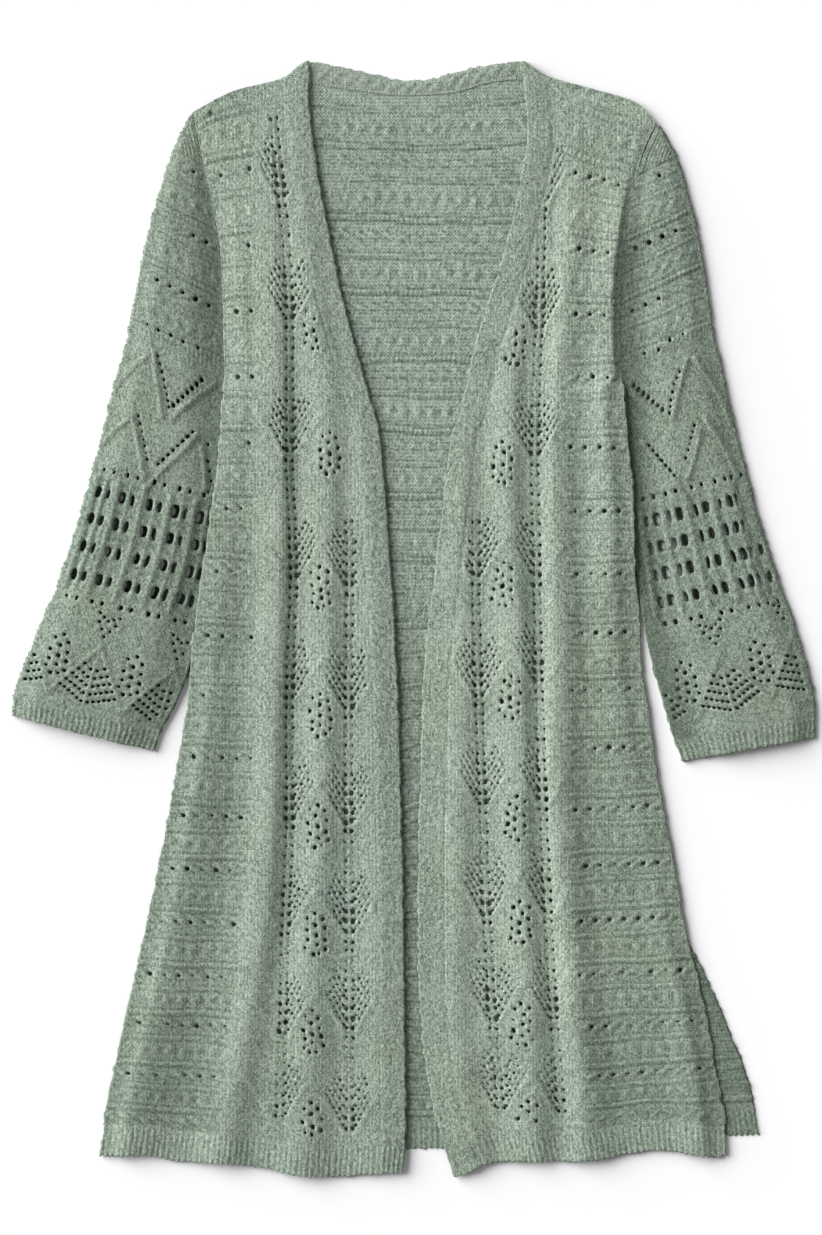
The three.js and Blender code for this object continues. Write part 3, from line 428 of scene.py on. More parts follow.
def stitch_group():
    """Shader group of the knit itself: loops of heather yarn, from stitch coordinates, with shade painted
    between the loops and darkened by the painted shade it is given.
    """
    tree = bpy.data.node_groups.new("heather knit", "ShaderNodeTree")
    inlets = {"Stitch": "Vector", "Place": "Vector", "Dark yarn": "Color", "Light yarn": "Color",
              "Purl": "Float", "Painted shade": "Float"}
    for label, kind in inlets.items():
        tree.interface.new_socket(label, in_out="INPUT", socket_type="NodeSocket" + kind)
    for label, kind in {"Colour": "Color", "Relief": "Float"}.items():
        tree.interface.new_socket(label, in_out="OUTPUT", socket_type="NodeSocket" + kind)
    given = tree.nodes.new("NodeGroupInput").outputs
    result = tree.nodes.new("NodeGroupOutput").inputs

    def calc(operation, *values):
        return calculated(tree, operation, *values)

    def noise(kind):
        made = tree.nodes.new("ShaderNodeTexNoise")
        tree.links.new(given["Place"], made.inputs["Vector"])
        for socket, value in zip(("Scale", "Detail", "Roughness"), yarn_noise[kind]):
            made.inputs[socket].default_value = value
        return made.outputs[0]

    def added(value, middle, contrast, base):
        return calc("MULTIPLY_ADD", calc("SUBTRACT", value, middle), contrast, base)

    parts = tree.nodes.new("ShaderNodeSeparateXYZ")
    tree.links.new(given["Stitch"], parts.inputs[0])
    wale = parts.outputs[0]
    course = parts.outputs[1]
    side = calc("ABSOLUTE", calc("SUBTRACT", calc("FRACT", wale), 0.5))
    leaning = calc("MULTIPLY_ADD", side, stitch_slant, course)
    leg = calc("SINE", calc("MULTIPLY", calc("FRACT", calc("MULTIPLY", wale, 2.0)), np.pi))
    loop = calc("SINE", calc("MULTIPLY", calc("FRACT", leaning), np.pi))
    knit = calc("POWER", calc("MULTIPLY", leg, loop), loop_roundness)
    arch = calc("MULTIPLY_ADD", calc("SINE", calc("MULTIPLY", wale, 2 * np.pi)), purl_arch, course)
    purl = calc("SINE", calc("MULTIPLY", calc("FRACT", arch), np.pi))
    shape = calc("ADD", calc("MULTIPLY", knit, calc("SUBTRACT", 1.0, given["Purl"])),
                 calc("MULTIPLY", purl, given["Purl"]))

    loops = tree.nodes.new("ShaderNodeCombineXYZ")
    tree.links.new(calc("FLOOR", calc("MULTIPLY", wale, 2.0)), loops.inputs[0])
    tree.links.new(calc("FLOOR", leaning), loops.inputs[1])
    chance = tree.nodes.new("ShaderNodeTexWhiteNoise")
    chance.noise_dimensions = "2D"
    tree.links.new(loops.outputs[0], chance.inputs["Vector"])
    fibre = noise("fibre")
    clumps = noise("clumps")
    cloud = noise("cloud")
    tint = noise("tint")

    light = added(chance.outputs[0], 0.5, loop_contrast, 0.5)
    light = added(fibre, 0.5, fibre_contrast, light)
    light = added(clumps, 0.5, clump_contrast, light)
    # Painted shade between the loops: the loops' shape makes their tops lighter and the gaps darker
    light = added(shape, mean_shape, painted_loop_shade, light)
    light = added(cloud, 0.5, cloud_contrast, light)
    light.node.use_clamp = True
    colour = blended(tree, light, given["Dark yarn"], given["Light yarn"])
    warm = calc("MULTIPLY", calc("SUBTRACT", tint, 0.5 + tint_margin), tint_contrast)
    cool = calc("MULTIPLY", calc("SUBTRACT", 0.5 - tint_margin, tint), tint_contrast)
    for share, shift in ((warm, warm_tint), (cool, cool_tint)):
        share.node.use_clamp = True
        colour = blended(tree, share, colour, blended(tree, 1.0, colour, shift, "MULTIPLY"))
    # Painted shade, as deep as the painted shade map given to the group
    shaded = blended(tree, 1.0, colour, painted_shade_colour, "MULTIPLY")
    colour = blended(tree, calc("MULTIPLY", given["Painted shade"], painted_shade_strength), colour, shaded)
    tree.links.new(colour, result["Colour"])
    relief = added(fibre, 0.5, fibre_height, calc("MULTIPLY", shape, shape_height))
    relief = added(clumps, 0.5, clump_height, relief)
    tree.links.new(relief, result["Relief"])
    return tree


heather_knit = stitch_group()
# Soft, dull wool-like yarn with a little fuzz
yarn_finish = {
    "Roughness": 0.93,
    "Specular IOR Level": 0.25,
    "Sheen Weight": 0.22,
    "Sheen Roughness": 0.55,
    "Sheen Tint": dye(206, 218, 204),
}


def knit_material(name, dark, light, purl, depth):
    """Heather knit of one piece: its two yarns, how much of the purl side shows, and the loops' depth."""
    material = bpy.data.materials.new(name)
    material.use_nodes = True
    tree = material.node_tree
    shader = tree.nodes["Principled BSDF"]
    for socket, value in yarn_finish.items():
        shader.inputs[socket].default_value = value
    group = tree.nodes.new("ShaderNodeGroup")
    group.node_tree = heather_knit
    stitch = tree.nodes.new("ShaderNodeUVMap")
    stitch.uv_map = "stitches"
    place = tree.nodes.new("ShaderNodeTexCoord")
    # Painted shade stored on the mesh darkens the yarn's colour
    painted_shade = tree.nodes.new("ShaderNodeAttribute")
    painted_shade.attribute_name = "painted_shade"
    tree.links.new(stitch.outputs["UV"], group.inputs["Stitch"])
    tree.links.new(place.outputs["Object"], group.inputs["Place"])
    tree.links.new(painted_shade.outputs["Fac"], group.inputs["Painted shade"])
    group.inputs["Dark yarn"].default_value = dark
    group.inputs["Light yarn"].default_value = light
    group.inputs["Purl"].default_value = purl
    tree.links.new(group.outputs["Colour"], shader.inputs["Base Color"])
    bump = tree.nodes.new("ShaderNodeBump")
    bump.inputs["Strength"].default_value = 1.0
    bump.inputs["Distance"].default_value = depth
    tree.links.new(group.outputs["Relief"], bump.inputs["Height"])
    tree.links.new(bump.outputs["Normal"], shader.inputs["Normal"])
    return material


def finish_piece(piece, material, node, flat, area):
    """Gives a knitted piece its yarn, hangs it on the root body and hides the solid it stands for.
    Its flat and area, what it rests on, are not used.
    """
    piece.data.materials.append(material)
    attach(piece, "root")
    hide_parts(node)


stitch_width = 2.4
stitch_height = 1.9


def as_grid(x, y, z, wale, course):
    """One grid array of places and stitches from arrays of any matching shapes."""
    return np.stack(np.broadcast_arrays(x, y, z, wale, course), -1).astype(float)


# A repeat from one welt to the next. "at" is each row's place in it. The rest is the height and half width
# of the raised stitches, then the depth of the hollows beside them, how far off these lie, and their
# half width.
welt_rows = {
    "main": {"at": 0, "ridge": (0.95, 1.5), "groove": (0.5, 3.2, 1.2)},
    "minor": {"at": 0.5, "ridge": (0.6, 1.3), "groove": (0.4, 2.8, 1.1)},
    "twists": {"at": 0.235, "ridge": (1, 1.6), "groove": (0.5, 3.2, 1.3)},
    "knots": {"at": 0.74, "ridge": (1, 2.7), "groove": (0.45, 5.2, 1.5)},
}
twist_pitch = 12.4
twist_half_length = 4.4
knot_flatness = 0.85
knot_groove_height = 3.2
welt_stitch = 4.1
stitch_swell = 0.35
welt_wander = (0.012, 8.3, 0.014, 21)


def welt_relief(welt, pitch, across, lean, bold):
    """Raised welts, and slanted twists and small knots between them, as high as bold says."""
    near, near_length, far, far_length = welt_wander
    wander = near * np.sin(across / near_length) + far * np.sin(across / far_length + 2 * welt)

    def from_row(name):
        return ((welt - welt_rows[name]["at"] + wander + 0.5) % 1 - 0.5) * pitch

    stitches = 0.8 + stitch_swell * np.cos(2 * np.pi * across / welt_stitch)
    relief = 0
    for name in ("main", "minor"):
        off = from_row(name)
        height, half_width = welt_rows[name]["ridge"]
        depth, distance, groove_width = welt_rows[name]["groove"]
        relief += height * stitches * ridge(off, half_width)
        relief -= depth * ridge(np.abs(off) - distance, groove_width)
    below = from_row("twists")
    beside = ((across / twist_pitch) % 1 - 0.5) * twist_pitch
    along = beside * np.cos(lean) + below * np.sin(lean)
    off = below * np.cos(lean) - beside * np.sin(lean)
    within = np.exp(-((along / twist_half_length) ** 4))
    height, half_width = welt_rows["twists"]["ridge"]
    depth, distance, groove_width = welt_rows["twists"]["groove"]
    relief += height * bold * ridge(off, half_width) * within
    relief -= depth * bold * ridge(np.abs(off) - distance, groove_width) * within
    knot = from_row("knots")
    height, half_width = welt_rows["knots"]["ridge"]
    depth, distance, groove_width = welt_rows["knots"]["groove"]
    relief += height * bold * ridge(np.hypot(beside, knot * knot_flatness), half_width)
    off_knot = np.abs(beside) - distance
    relief -= depth * bold * ridge(knot, knot_groove_height) * ridge(off_knot, groove_width)
    return relief


welt_number = np.array(body_welts["welt"], float)
welt_line = {name: flowing(welt_number, body_welts[name]) for name in body_welts if name != "welt"}
right_side_x = drawn(right_side_line, "y", "x")
left_side_x = drawn(left_side_line, "y", "x")
back_left_x = drawn(back_left_line, "y", "x")
right_edge_x = drawn(right_edge_line, "y", "x")
left_edge_x = drawn(left_edge_line, "y", "x")
shoulder_y = drawn(shoulder_line, "x", "y")
neck_y = drawn(neck_line, "x", "y")
back_hem_y = drawn(back_hem_line, "x", "y")

density_run = 0.04


def spaced(dense_from, dense_to, density, count):
    """Shares from 0 to 1, closer together between two places."""
    fine = np.linspace(0, 1, 2000)
    rise = ease(fine, dense_from - density_run, dense_from + density_run)
    weight = 1 + (density - 1) * rise * ease(fine, dense_to + density_run, dense_to - density_run)
    total = np.cumsum(weight)
    total = (total - total[0]) / (total[-1] - total[0])
    return np.interp(np.linspace(0, 1, count), total, fine)


# The body's side climbs over the sleeve below the armhole, and comes down where the sleeve turns away
armhole_foot = 214
armhole_step = 21
side_lift = 5.4
lift_flat = 7
lift_end = 54
right_landing = (-54, -2)
left_landing = (0, 51)


def lift_of(height, right):
    """How far the body's side has climbed over the sleeve at a height up the garment."""
    landing = right_landing if right else left_landing
    return side_lift * ease(height, armhole_foot, armhole_foot - armhole_step) * ease(height, *landing)


back_row_count = 430
back_column_count = 192
back_rows_span = ([0, 0.45, 1], [first_welt, 6.5, 17.1])
back_dense_columns = (0.3, 0.66, 4.2)
shoulder_reach = 1.6
hem_welts = (16.4, 17.1)
back_welt_start = 400
back_twist_lean = 0.3
back_boldness = 0.8
back_relief_scale = 1.35
purl_width = 2.9
purl_height = 3.1
rib_grain = 0.22
# Where the back shows between the fronts and as a flap at the vent. Elsewhere its relief is low.
shown_from = (-150, -110)
shown_to = (150, 115)
flap_from = (205, 225)
hidden_relief = 0.15
hem_tuck = 0.3
hem_tuck_span = (-380, -430)


def back_grid():
    """The back's welts from the shoulders down to its ribs, finer where it shows between the fronts."""
    welt = np.interp(np.linspace(0, 1, back_row_count), *back_rows_span)[:, None]
    side = {name: line(welt) for name, line in welt_line.items()}
    start = right_side_x(side["right_side"]) + edge_roll
    stop = back_left_x(side["left_side"]) - edge_roll
    x = start + (stop - start) * spaced(*back_dense_columns, back_column_count)
    right_open = right_edge_x(side["right_edge"])
    left_open = left_edge_x(side["left_edge"])

    def row_height(x):
        right_part = np.clip((x - start) / (right_open - start), 0, 1)
        middle = np.clip((x - right_open) / (left_open - right_open), 0, 1)
        left_part = np.clip((x - left_open) / (stop - left_open), 0, 1)
        height = side["right_side"] + (side["right_edge"] - side["right_side"]) * right_part
        height = height + (side["left_edge"] - side["right_edge"]) * middle
        return height + (side["left_side"] - side["left_edge"]) * left_part

    y = row_height(x)
    outline = np.where(np.abs(x[0]) > neck_line["x"][-1], shoulder_y(x[0]), neck_y(x[0]) - seam_gap)
    y = y + np.clip((shoulder_reach - welt) / (shoulder_reach - first_welt), 0, 1) * (outline - y[0])
    foot = back_hem_y(x[-1]) + hem_rib
    y = y + ease(welt, *hem_welts) * (foot - y[-1])
    from_right = x - start
    from_left = stop - x
    z = cloth + lift_of(y, True) * (1 - ease(from_right, lift_flat, lift_end))
    z = z + lift_of(y, False) * (1 - ease(from_left, lift_flat, lift_end))
    pitch = np.abs(np.gradient(side["right_edge"], axis=0) / np.gradient(welt, axis=0))
    welts = welt_relief(welt, pitch, x + back_welt_start, back_twist_lean, back_boldness)
    relief = back_relief_scale * welts
    wale = x / purl_width
    course = -y / purl_height
    relief += rib_grain * yarn_grain(wale, course, 3)
    shown = ease(x, *shown_from) * ease(x, *shown_to) + ease(x, *flap_from)
    relief *= np.clip(shown, hidden_relief, 1) * ease(outline - y, 0.5, 7)
    relief -= hem_tuck * ease(y, *hem_tuck_span)
    return as_grid(x, y, z + relief, wale, course), relief


rib_height = 0.32
rib_columns = 4
rib_wander = 0.25
rib_scallop = 0.7
rib_base = 0.4


def rib_patch(x_top, x_foot, foot_y, height, rows, seed):
    """Ribbed hem: x runs between two ends at its top and at its foot, height gives the cloth's own rise."""
    ribs = max(3, round(abs(x_foot[1] - x_foot[0]) / rib_pitch))
    share = np.linspace(0, 1, ribs * rib_columns + 1)[None, :]
    drop = np.linspace(0, 1, rows)[:, None]
    start = x_top[0] + (x_foot[0] - x_top[0]) * drop
    stop = x_top[1] + (x_foot[1] - x_top[1]) * drop
    x = start + (stop - start) * share
    phase = share * ribs * 2 * np.pi
    wander = rib_wander * np.sin(drop * 3 + np.arange(share.size)[None, :] // rib_columns * 1.7)
    crest = np.cos(phase + wander)
    depth = rib_height * ease(drop, 0, 0.25)
    y = foot_y(x) + hem_rib * (1 - drop) - rib_scallop * crest * ease(drop, 0.7, 1)
    wale = x / stitch_width
    course = -y / stitch_height
    relief = depth * (crest - rib_base) + rib_grain * yarn_grain(wale, course, seed)
    z = height(x, y) + relief
    return as_grid(x, y, z, wale, course), relief


back_rib_inset = 2.1
back_rib_heights = ((-428, -419), (-454, -445))
# Painted shade on the vent flap in the front's shadow, low down between the fronts and over the back's ribs
flap_painted_shade = 0.35
rib_flap_painted_shade = 0.3
flap_painted_shade_run = (205, 232)
low_gap_painted_shade = 0.42
low_gap_shade_run = (90, -120)
rib_painted_shade = 0.3
back_body, back_relief = back_grid()
back_painted_shade = with_rolls(crease_shade_of(back_relief), ("left", "right"))
for back_end in ("left", "right"):
    back_body = rolled(back_body, back_end, edge_roll, cloth - 0.2)
back_rib_ends = [(float(right_side_x(right_y)) + back_rib_inset, float(back_left_x(left_y)) - edge_roll)
                 for right_y, left_y in back_rib_heights]
back_rib, back_rib_relief = rib_patch(*back_rib_ends, back_hem_y,
                                      lambda x, y: np.full_like(x, cloth - 0.25), 15, 5)
back_rib_painted_shade = with_rolls(crease_shade_of(back_rib_relief, 3) + rib_painted_shade, ("left", "right", "bottom"))
for rib_end in ("left", "right", "bottom"):
    back_rib = rolled(back_rib, rib_end, edge_roll, cloth - 0.3)
# Painted shade on the vent flap and low down between the fronts
back_painted_shade += (flap_painted_shade * ease(back_body[..., 0], *flap_painted_shade_run)
                + low_gap_painted_shade * ease(back_body[..., 1], *low_gap_shade_run))
back_rib_painted_shade += rib_flap_painted_shade * ease(back_rib[..., 0], *flap_painted_shade_run)
back_piece = knit_piece("back_knit", [
    (back_body, [], np.clip(back_painted_shade, 0, 1)),
    (back_rib, [], np.clip(back_rib_painted_shade, 0, 1)),
])
back_yarn = knit_material("back yarn", dye(94, 110, 95), dye(184, 198, 184), 0.85, 0.0007)
finish_piece(back_piece, back_yarn, "back_panel", (0.5683, 0.9257), 0.3804)

# Back neck band
# The strip of plain knit that runs on from the front bands round the back of the neck. It is linked to
# the back along a cord-like seam, and its free edge rolls over.
neck_top_line = {
    "x": [-113, -91, -70, -39, -8, 7, 38, 69, 91, 113],
    "y": [468, 482, 479, 472, 466, 466, 474, 480, 482.5, 470],
}
neck_half_width = 111
neck_under_front = (84, 90)
neck_lap = 1.2
neck_band_rise = 0.4
neck_band_crown = 0.6
neck_grain = 0.32
neck_twist = 0.3
neck_twist_pitch = 6.2
neck_top_y = drawn(neck_top_line, "x", "y")


def neck_band_grid():
    """The band from its rolled free edge down to where it laps over the back's neck."""
    x = np.linspace(-neck_half_width, neck_half_width, 190)[None, :]
    share = np.linspace(0, 1, 19)[:, None]
    y = neck_top_y(x) - edge_roll + (neck_y(x) - neck_lap - neck_top_y(x) + edge_roll) * share
    arch = np.sin(np.pi * share)
    crown = neck_band_crown * arch
    free = 1 - ease(np.abs(x), *neck_under_front)
    wale = x / stitch_width
    course = -y / stitch_height
    relief = neck_grain * yarn_grain(wale, course, 11) * free
    relief += neck_twist * np.cos(np.pi * (x / neck_twist_pitch + 2 * share)) * free * arch
    z = cloth + (neck_band_rise * ease(share, 1, 0.7) + crown) * free + relief * ease(share, 1, 0.9)
    return as_grid(x, y, z, wale, course), relief


neck_grid, neck_relief = neck_band_grid()
# Painted shade in the band's creases and on its rolled edge
neck_painted_shade = with_rolls(crease_shade_of(neck_relief, 4), ("top",))
neck_grid = rolled(neck_grid, "top", edge_roll, cloth)
cord_half_length = 88
cord_radius = 0.5
cord_swell = 0.1
cord_stitch = 2.6
cord_flatness = 3.2
cord_stitches_per_wale = 1.4


def neck_cord_grid():
    """The linked seam, a small flat cord along the back neck."""
    x = np.linspace(-cord_half_length, cord_half_length, 300)[None, :]
    turn = np.linspace(-0.2 * np.pi, 1.2 * np.pi, 9)[:, None]
    radius = cord_radius + cord_swell * np.cos(x * 2 * np.pi / cord_stitch)
    y = neck_y(x) - 0.4 + radius * np.cos(turn) * cord_flatness
    z = cloth + 0.15 + radius * np.sin(turn)
    return as_grid(x, y, z, x / stitch_width * cord_stitches_per_wale, turn)


neck_cord = neck_cord_grid()
neck_piece = knit_piece("back_neck_band_knit", [
    (neck_grid, [], neck_painted_shade),
    (neck_cord, [], np.zeros(neck_cord.shape[:2])),
])
neck_yarn = knit_material("neck band yarn", dye(108, 124, 108), dye(188, 201, 186), 0.45, 0.0008)
finish_piece(neck_piece, neck_yarn, "back_neck_band", (0.224, 0.0283), 0.0037)

# Fronts
# Each front is one knitted panel: welts, twists and knots at the side, then two columns of fern lace with
# small diamonds between them, and a ribbed hem. Its cloth falls in soft folds down its length.
front_z = cloth + seam_gap + cloth
band_width = 22.5
front_row_count = 640
front_column_count = 134
front_hem_line = {
    "x": [-273, -233, -208, -145, -87, -10, 34, 70, 143, 213, 264, 270],
    "y": [-464, -463, -468, -472, -482, -479, -482, -469, -468, -459, -465, -462],
}
front_hem_y = drawn(front_hem_line, "x", "y")
# Heights of the ribbed hem's top and foot at the side seam and at the opening edge
rib_top_side = -438
rib_foot_side = -464
rib_top_edge = -453
rib_foot_edge = -480


def fold(places):
    """One soft fold: at heights y up the garment its ridge's x and height, and how far it runs out to
    the left and to the right."""
    y, *columns = zip(*places)
    return {name: flowing(y, column) for name, column in zip(("x", "height", "left", "right"), columns)}


# What a front's table holds. "steep" is how much sooner its folds start below the armhole, "dip" the depth
# of the hollow along the armhole seam, "valley" the painted shadow in the fold's valley beside the
# outer spine and its distance from it, and "panel" the line between welts and lace. In a column, "shown" is
# the hand on which fans stay and "hidden_below" the height below which the other hand's fans lie in a fold.
right_front = {
    "name": "right", "inward": 1, "seed": 21,
    "side_y": welt_line["right_side"], "edge_y": welt_line["right_edge"],
    "side_x": right_side_x, "edge_x": right_edge_x,
    "steep": 0, "dip": 1.3, "valley": (0.36, 1), "shoulder_eyelets": [(-176, 436.5), (-162, 445)],
    "panel": flowing([450, 276, -120, -226, -330, -417, -470], [-138, -136, -137, -145, -155, -166, -172]),
    "folds": [
        fold([(380, -163, 0, 10, 18), (270, -156, 2.2, 10, 18), (190, -157, 1.2, 10, 18),
              (100, -163, 0, 10, 18)]),
        fold([(20, -172, 0, 22, 30), (-60, -180, 2.2, 22, 36), (-114, -186, 3.2, 22, 40),
              (-235, -204, 4.2, 22, 42), (-339, -226, 4.6, 22, 44), (-417, -244, 4.8, 22, 46),
              (-490, -258, 4.6, 22, 46)]),
        fold([(440, -126, 0, 30, 16), (384, -126, 1.4, 32, 16), (285, -122, 3.2, 36, 17),
              (198, -118, 4.6, 38, 17), (103, -117, 5.4, 38, 17), (-10, -118.5, 5.8, 38, 17),
              (-114, -122.5, 6, 38, 18), (-235, -129, 5.8, 38, 20), (-339, -144, 5.6, 36, 26),
              (-417, -159, 5.6, 34, 28), (-490, -169, 5.6, 34, 30)]),
        fold([(450, -104, 0, 20, 20), (384, -100, 1.4, 20, 20), (285, -90, 3.4, 22, 22),
              (198, -77, 4, 28, 22), (103, -76.5, 4.4, 30, 22), (-10, -75.5, 4.8, 30, 22),
              (-114, -79, 5, 30, 24), (-235, -85, 5.4, 30, 28), (-339, -94, 5.4, 30, 34),
              (-417, -94, 5.2, 34, 34), (-490, -96, 5, 34, 34)]),
        fold([(230, -62, 0, 24, 24), (150, -45, 2, 24, 24), (0, -35, 2, 26, 26), (-250, -31, 2, 26, 26),
              (-490, -31, 1.8, 26, 26)]),
    ],
    "columns": [
        {"spine": flowing([450, 423, 260, 146, 36, -68, -173, -265, -358, -419],
                          [-124, -120.8, -107.8, -107.8, -104.4, -107.8, -107.8, -111.3, -113.9, -116.5]),
         "feet": [366, 260, 145, 36, -68, -172, -265, -358, -430], "top": 440, "shown": 1,
         "hidden_below": 130},
        {"spine": flowing([85, 29, -77, -176, -271, -354, -441],
                          [-55.9, -55.9, -56.7, -56.7, -55.9, -55.9, -55.9]),
         "feet": [29, -77, -176, -271, -354, -441], "top": 92, "shown": 0, "hidden_below": -999},
    ],
    "diamonds": [(-86, 250), (-73, 142), (-81, 26), (-81, -84), (-83.6, -180), (-85.3, -273), (-88, -358),
                 (-88, -438)],
}
left_front = {
    "name": "left", "inward": -1, "seed": 22,
    "side_y": welt_line["left_side"], "edge_y": welt_line["left_edge"],
    "side_x": left_side_x, "edge_x": left_edge_x,
    "steep": 15, "dip": 0, "valley": (0.15, 3), "shoulder_eyelets": [],
    "panel": flowing([450, 276, -120, -226, -330, -417, -470], [130, 131, 130, 133, 139, 147, 152]),
    "folds": [
        fold([(400, 184, 0, 26, 20), (340, 178, 3.4, 28, 24), (285, 170, 4.6, 30, 30),
              (214, 168, 4.6, 30, 30), (170, 166, 3.6, 28, 20), (103, 170, 3.4, 28, 18),
              (-10, 171, 3.2, 28, 22), (-114, 182, 1.6, 26, 22), (-200, 200, 0, 26, 22)]),
        fold([(-170, 204, 0, 26, 22), (-235, 215, 1.6, 28, 22), (-339, 238, 3.8, 30, 20),
              (-417, 245, 4.4, 30, 20), (-490, 250, 4, 30, 20)]),
        fold([(440, 140, 0, 20, 26), (384, 138, 1.6, 20, 28), (285, 132, 4, 18, 30),
              (198, 124, 5.2, 17, 34), (103, 121, 5.6, 16, 32), (-10, 122.5, 5.6, 17, 30),
              (-114, 121, 5.6, 17, 30), (-235, 128.5, 5.6, 18, 30), (-339, 137.5, 5.6, 20, 34),
              (-417, 145, 5.6, 22, 38), (-490, 150, 5.6, 24, 38)]),
        fold([(340, 96, 0, 20, 16), (285, 91, 1.6, 22, 16), (198, 84, 3.2, 26, 16), (103, 82, 4.2, 28, 17),
              (-10, 90, 4.8, 32, 16), (-114, 91, 4.8, 32, 17), (-235, 93.5, 4.8, 32, 18),
              (-339, 101, 4.6, 34, 20), (-417, 103, 4.6, 34, 22), (-490, 104, 4.4, 34, 22)]),
        fold([(200, 56, 0, 22, 22), (103, 40, 2.6, 24, 22), (-10, 41, 3.2, 28, 22), (-235, 36, 3.4, 28, 24),
              (-339, 33, 3.4, 26, 24), (-417, 42, 3, 26, 24), (-480, 58, 2.6, 24, 22)]),
    ],
    "columns": [
        {"spine": flowing([440, 406, 253, 142, 38, -54, -156, -253, -346, -426],
                          [115, 113, 107.8, 104.4, 106.1, 107.8, 111.3, 115.6, 120.8, 127.7]),
         "feet": [362, 253, 142, 38, -54, -156, -253, -346, -426], "top": 440, "shown": -1,
         "hidden_below": 130},
        {"spine": flowing([85, 38, -66, -159, -255, -346, -424], [53.3, 53.3, 55.9, 59.3, 62.8, 68, 74.9]),
         "feet": [38, -66, -159, -255, -346, -424], "top": 92, "shown": 0, "hidden_below": -999},
    ],
    "diamonds": [(87, 237), (75.8, 134), (76.6, 29), (82.7, -68), (87.9, -173), (91.4, -263), (93.1, -351),
                 (98, -436)],
}

shoulder_y_top = 480
shoulder_run = 60
fold_side_run = 22
fold_edge_run = (-4, 24)
front_waves = 0.5
front_looseness = 0.8
armhole_fade = 24
armhole_dip_span = (425, 340)
armhole_dip_width = 8
seam_lap = 0.9
band_edge_lift = 0.7


def fold_height(side, x, y, from_side, from_edge):
    """Height of the folds of a front, let down to the back at its edges."""
    height = np.zeros_like(x)
    for one in side["folds"]:
        off = x - one["x"](y)
        distance = np.clip(np.abs(off) / np.where(off < 0, one["left"](y), one["right"](y)), 0, 1)
        height += one["height"](y) * (0.5 + 0.5 * np.cos(np.pi * distance))
    side_run = fold_side_run - side["steep"] * ease(y, armhole_foot - armhole_fade, armhole_foot)
    below_shoulder = ease(shoulder_y_top - y, 0, shoulder_run)
    fade = ease(from_side, 0, side_run) * ease(from_edge, *fold_edge_run) * below_shoulder
    return front_looseness * ease(from_side, 0, side_run) + height * fade


def front_height(side, x, y, side_x, open_x):
    """Top of the cloth of a front or band at any place."""
    from_side = np.abs(x - side_x)
    from_edge = np.abs(open_x - x)
    lift = lift_of(y, side["inward"] > 0) * (1 - ease(from_side, lift_flat, lift_end))
    lift = lift + band_edge_lift * (1 - ease(from_edge, 0, band_width))
    waves = front_waves * slow_waves(x, y, side["seed"]) * ease(from_side, 2, 24)
    waves = waves * ease(shoulder_y_top - y, 0, shoulder_run)
    return front_z + lift + fold_height(side, x, y, from_side, from_edge) + waves


def body_row(side, welt, x):
    """Height up the garment of a front's row at a place across, with its shoulder and hem."""
    side_y = side["side_y"](welt)
    edge_y = side["edge_y"](welt)
    side_x = side["side_x"](side_y)
    open_x = side["edge_x"](edge_y)
    y = side_y + (edge_y - side_y) * (x - side_x) / (open_x - side_x)
    ends = ((first_welt, 1.0, shoulder_y), (last_welt, 16.6, lambda at: front_hem_y(at) + hem_rib))
    for end, reach, outline in ends:
        end_side_y = side["side_y"](end)
        end_edge_y = side["edge_y"](end)
        end_side_x = side["side_x"](end_side_y)
        end_open_x = side["edge_x"](end_edge_y)
        straight = end_side_y + (end_edge_y - end_side_y) * (x - end_side_x) / (end_open_x - end_side_x)
        y = y + np.clip((welt - reach) / (end - reach), 0, 1) * (outline(x) - straight)
    return y, side_x, open_x


def along_line(start, stop, pitch):
    """Places a pitch apart from start to stop."""
    start = np.array(start, float)
    way = np.array(stop, float) - start
    count = max(1, int(np.hypot(*way) / pitch))
    return [start + way * i / count for i in range(count + 1)]


def cord_relief(x, y, points, size):
    """Rounded cord along a line of points, from its height and half width. A groove's height is below 0."""
    nearest = np.full(x.shape, 1e9)
    for (x0, y0), (x1, y1) in zip(points, points[1:]):
        length = (x1 - x0) ** 2 + (y1 - y0) ** 2
        t = np.clip(((x - x0) * (x1 - x0) + (y - y0) * (y1 - y0)) / length, 0, 1)
        nearest = np.minimum(nearest, np.hypot(x - x0 - t * (x1 - x0), y - y0 - t * (y1 - y0)))
    height, half_width = size
    return height * ridge(nearest, half_width)


fern_pitch = 8.6
fern_arms = 5
fern_way = np.array([0.47, 0.883])
fern_width = 33
fern_below = 14
fern_above = 62
# Height and half width of the spine's lines, how far off its cords and tracks run, and the size of the
# slanted stitches over them
spine_ridge = (0.04, 1.3)
spine_cord = (0.08, 1.8)
spine_cord_off = 5.6
spine_track = (-0.07, 1.3)
spine_track_off = 2.9
herringbone_size = (0.26, 4.5)
spine_eyelet_half = 1.62
spine_eyelet_off = 2.9
eyelet_tallness = 1.3
low_fern = -400
low_fern_share = 0.8
arm_length = 31
arm_shortening = 4.4
arm_groove = (-0.14, 1.2)
arm_cord = (0.26, 1.2)
arm_eyelet_pitch = 5.2
arm_eyelet_half = 1.02
smallest_eyelet = 0.62
leaf_cord = (0.6, 2.6)
# Small diamond of eyelets: place across, place up and half width of each, in mm
diamond_eyelets = [
    (0, 19, 1.3), (-7, 14.5, 1.2), (5.5, 13.5, 1.4), (-1, 9, 1.5), (-8.2, 3, 1.4), (7, 4.5, 1.3),
    (0, -0.5, 1.6), (-7, -5, 1.3), (8, -4, 1.6), (0.5, -9, 1.4), (-8, -12, 1.2), (8.6, -12, 1.4),
    (-2.6, -17.5, 1.5), (3.8, -16, 1.2),
]


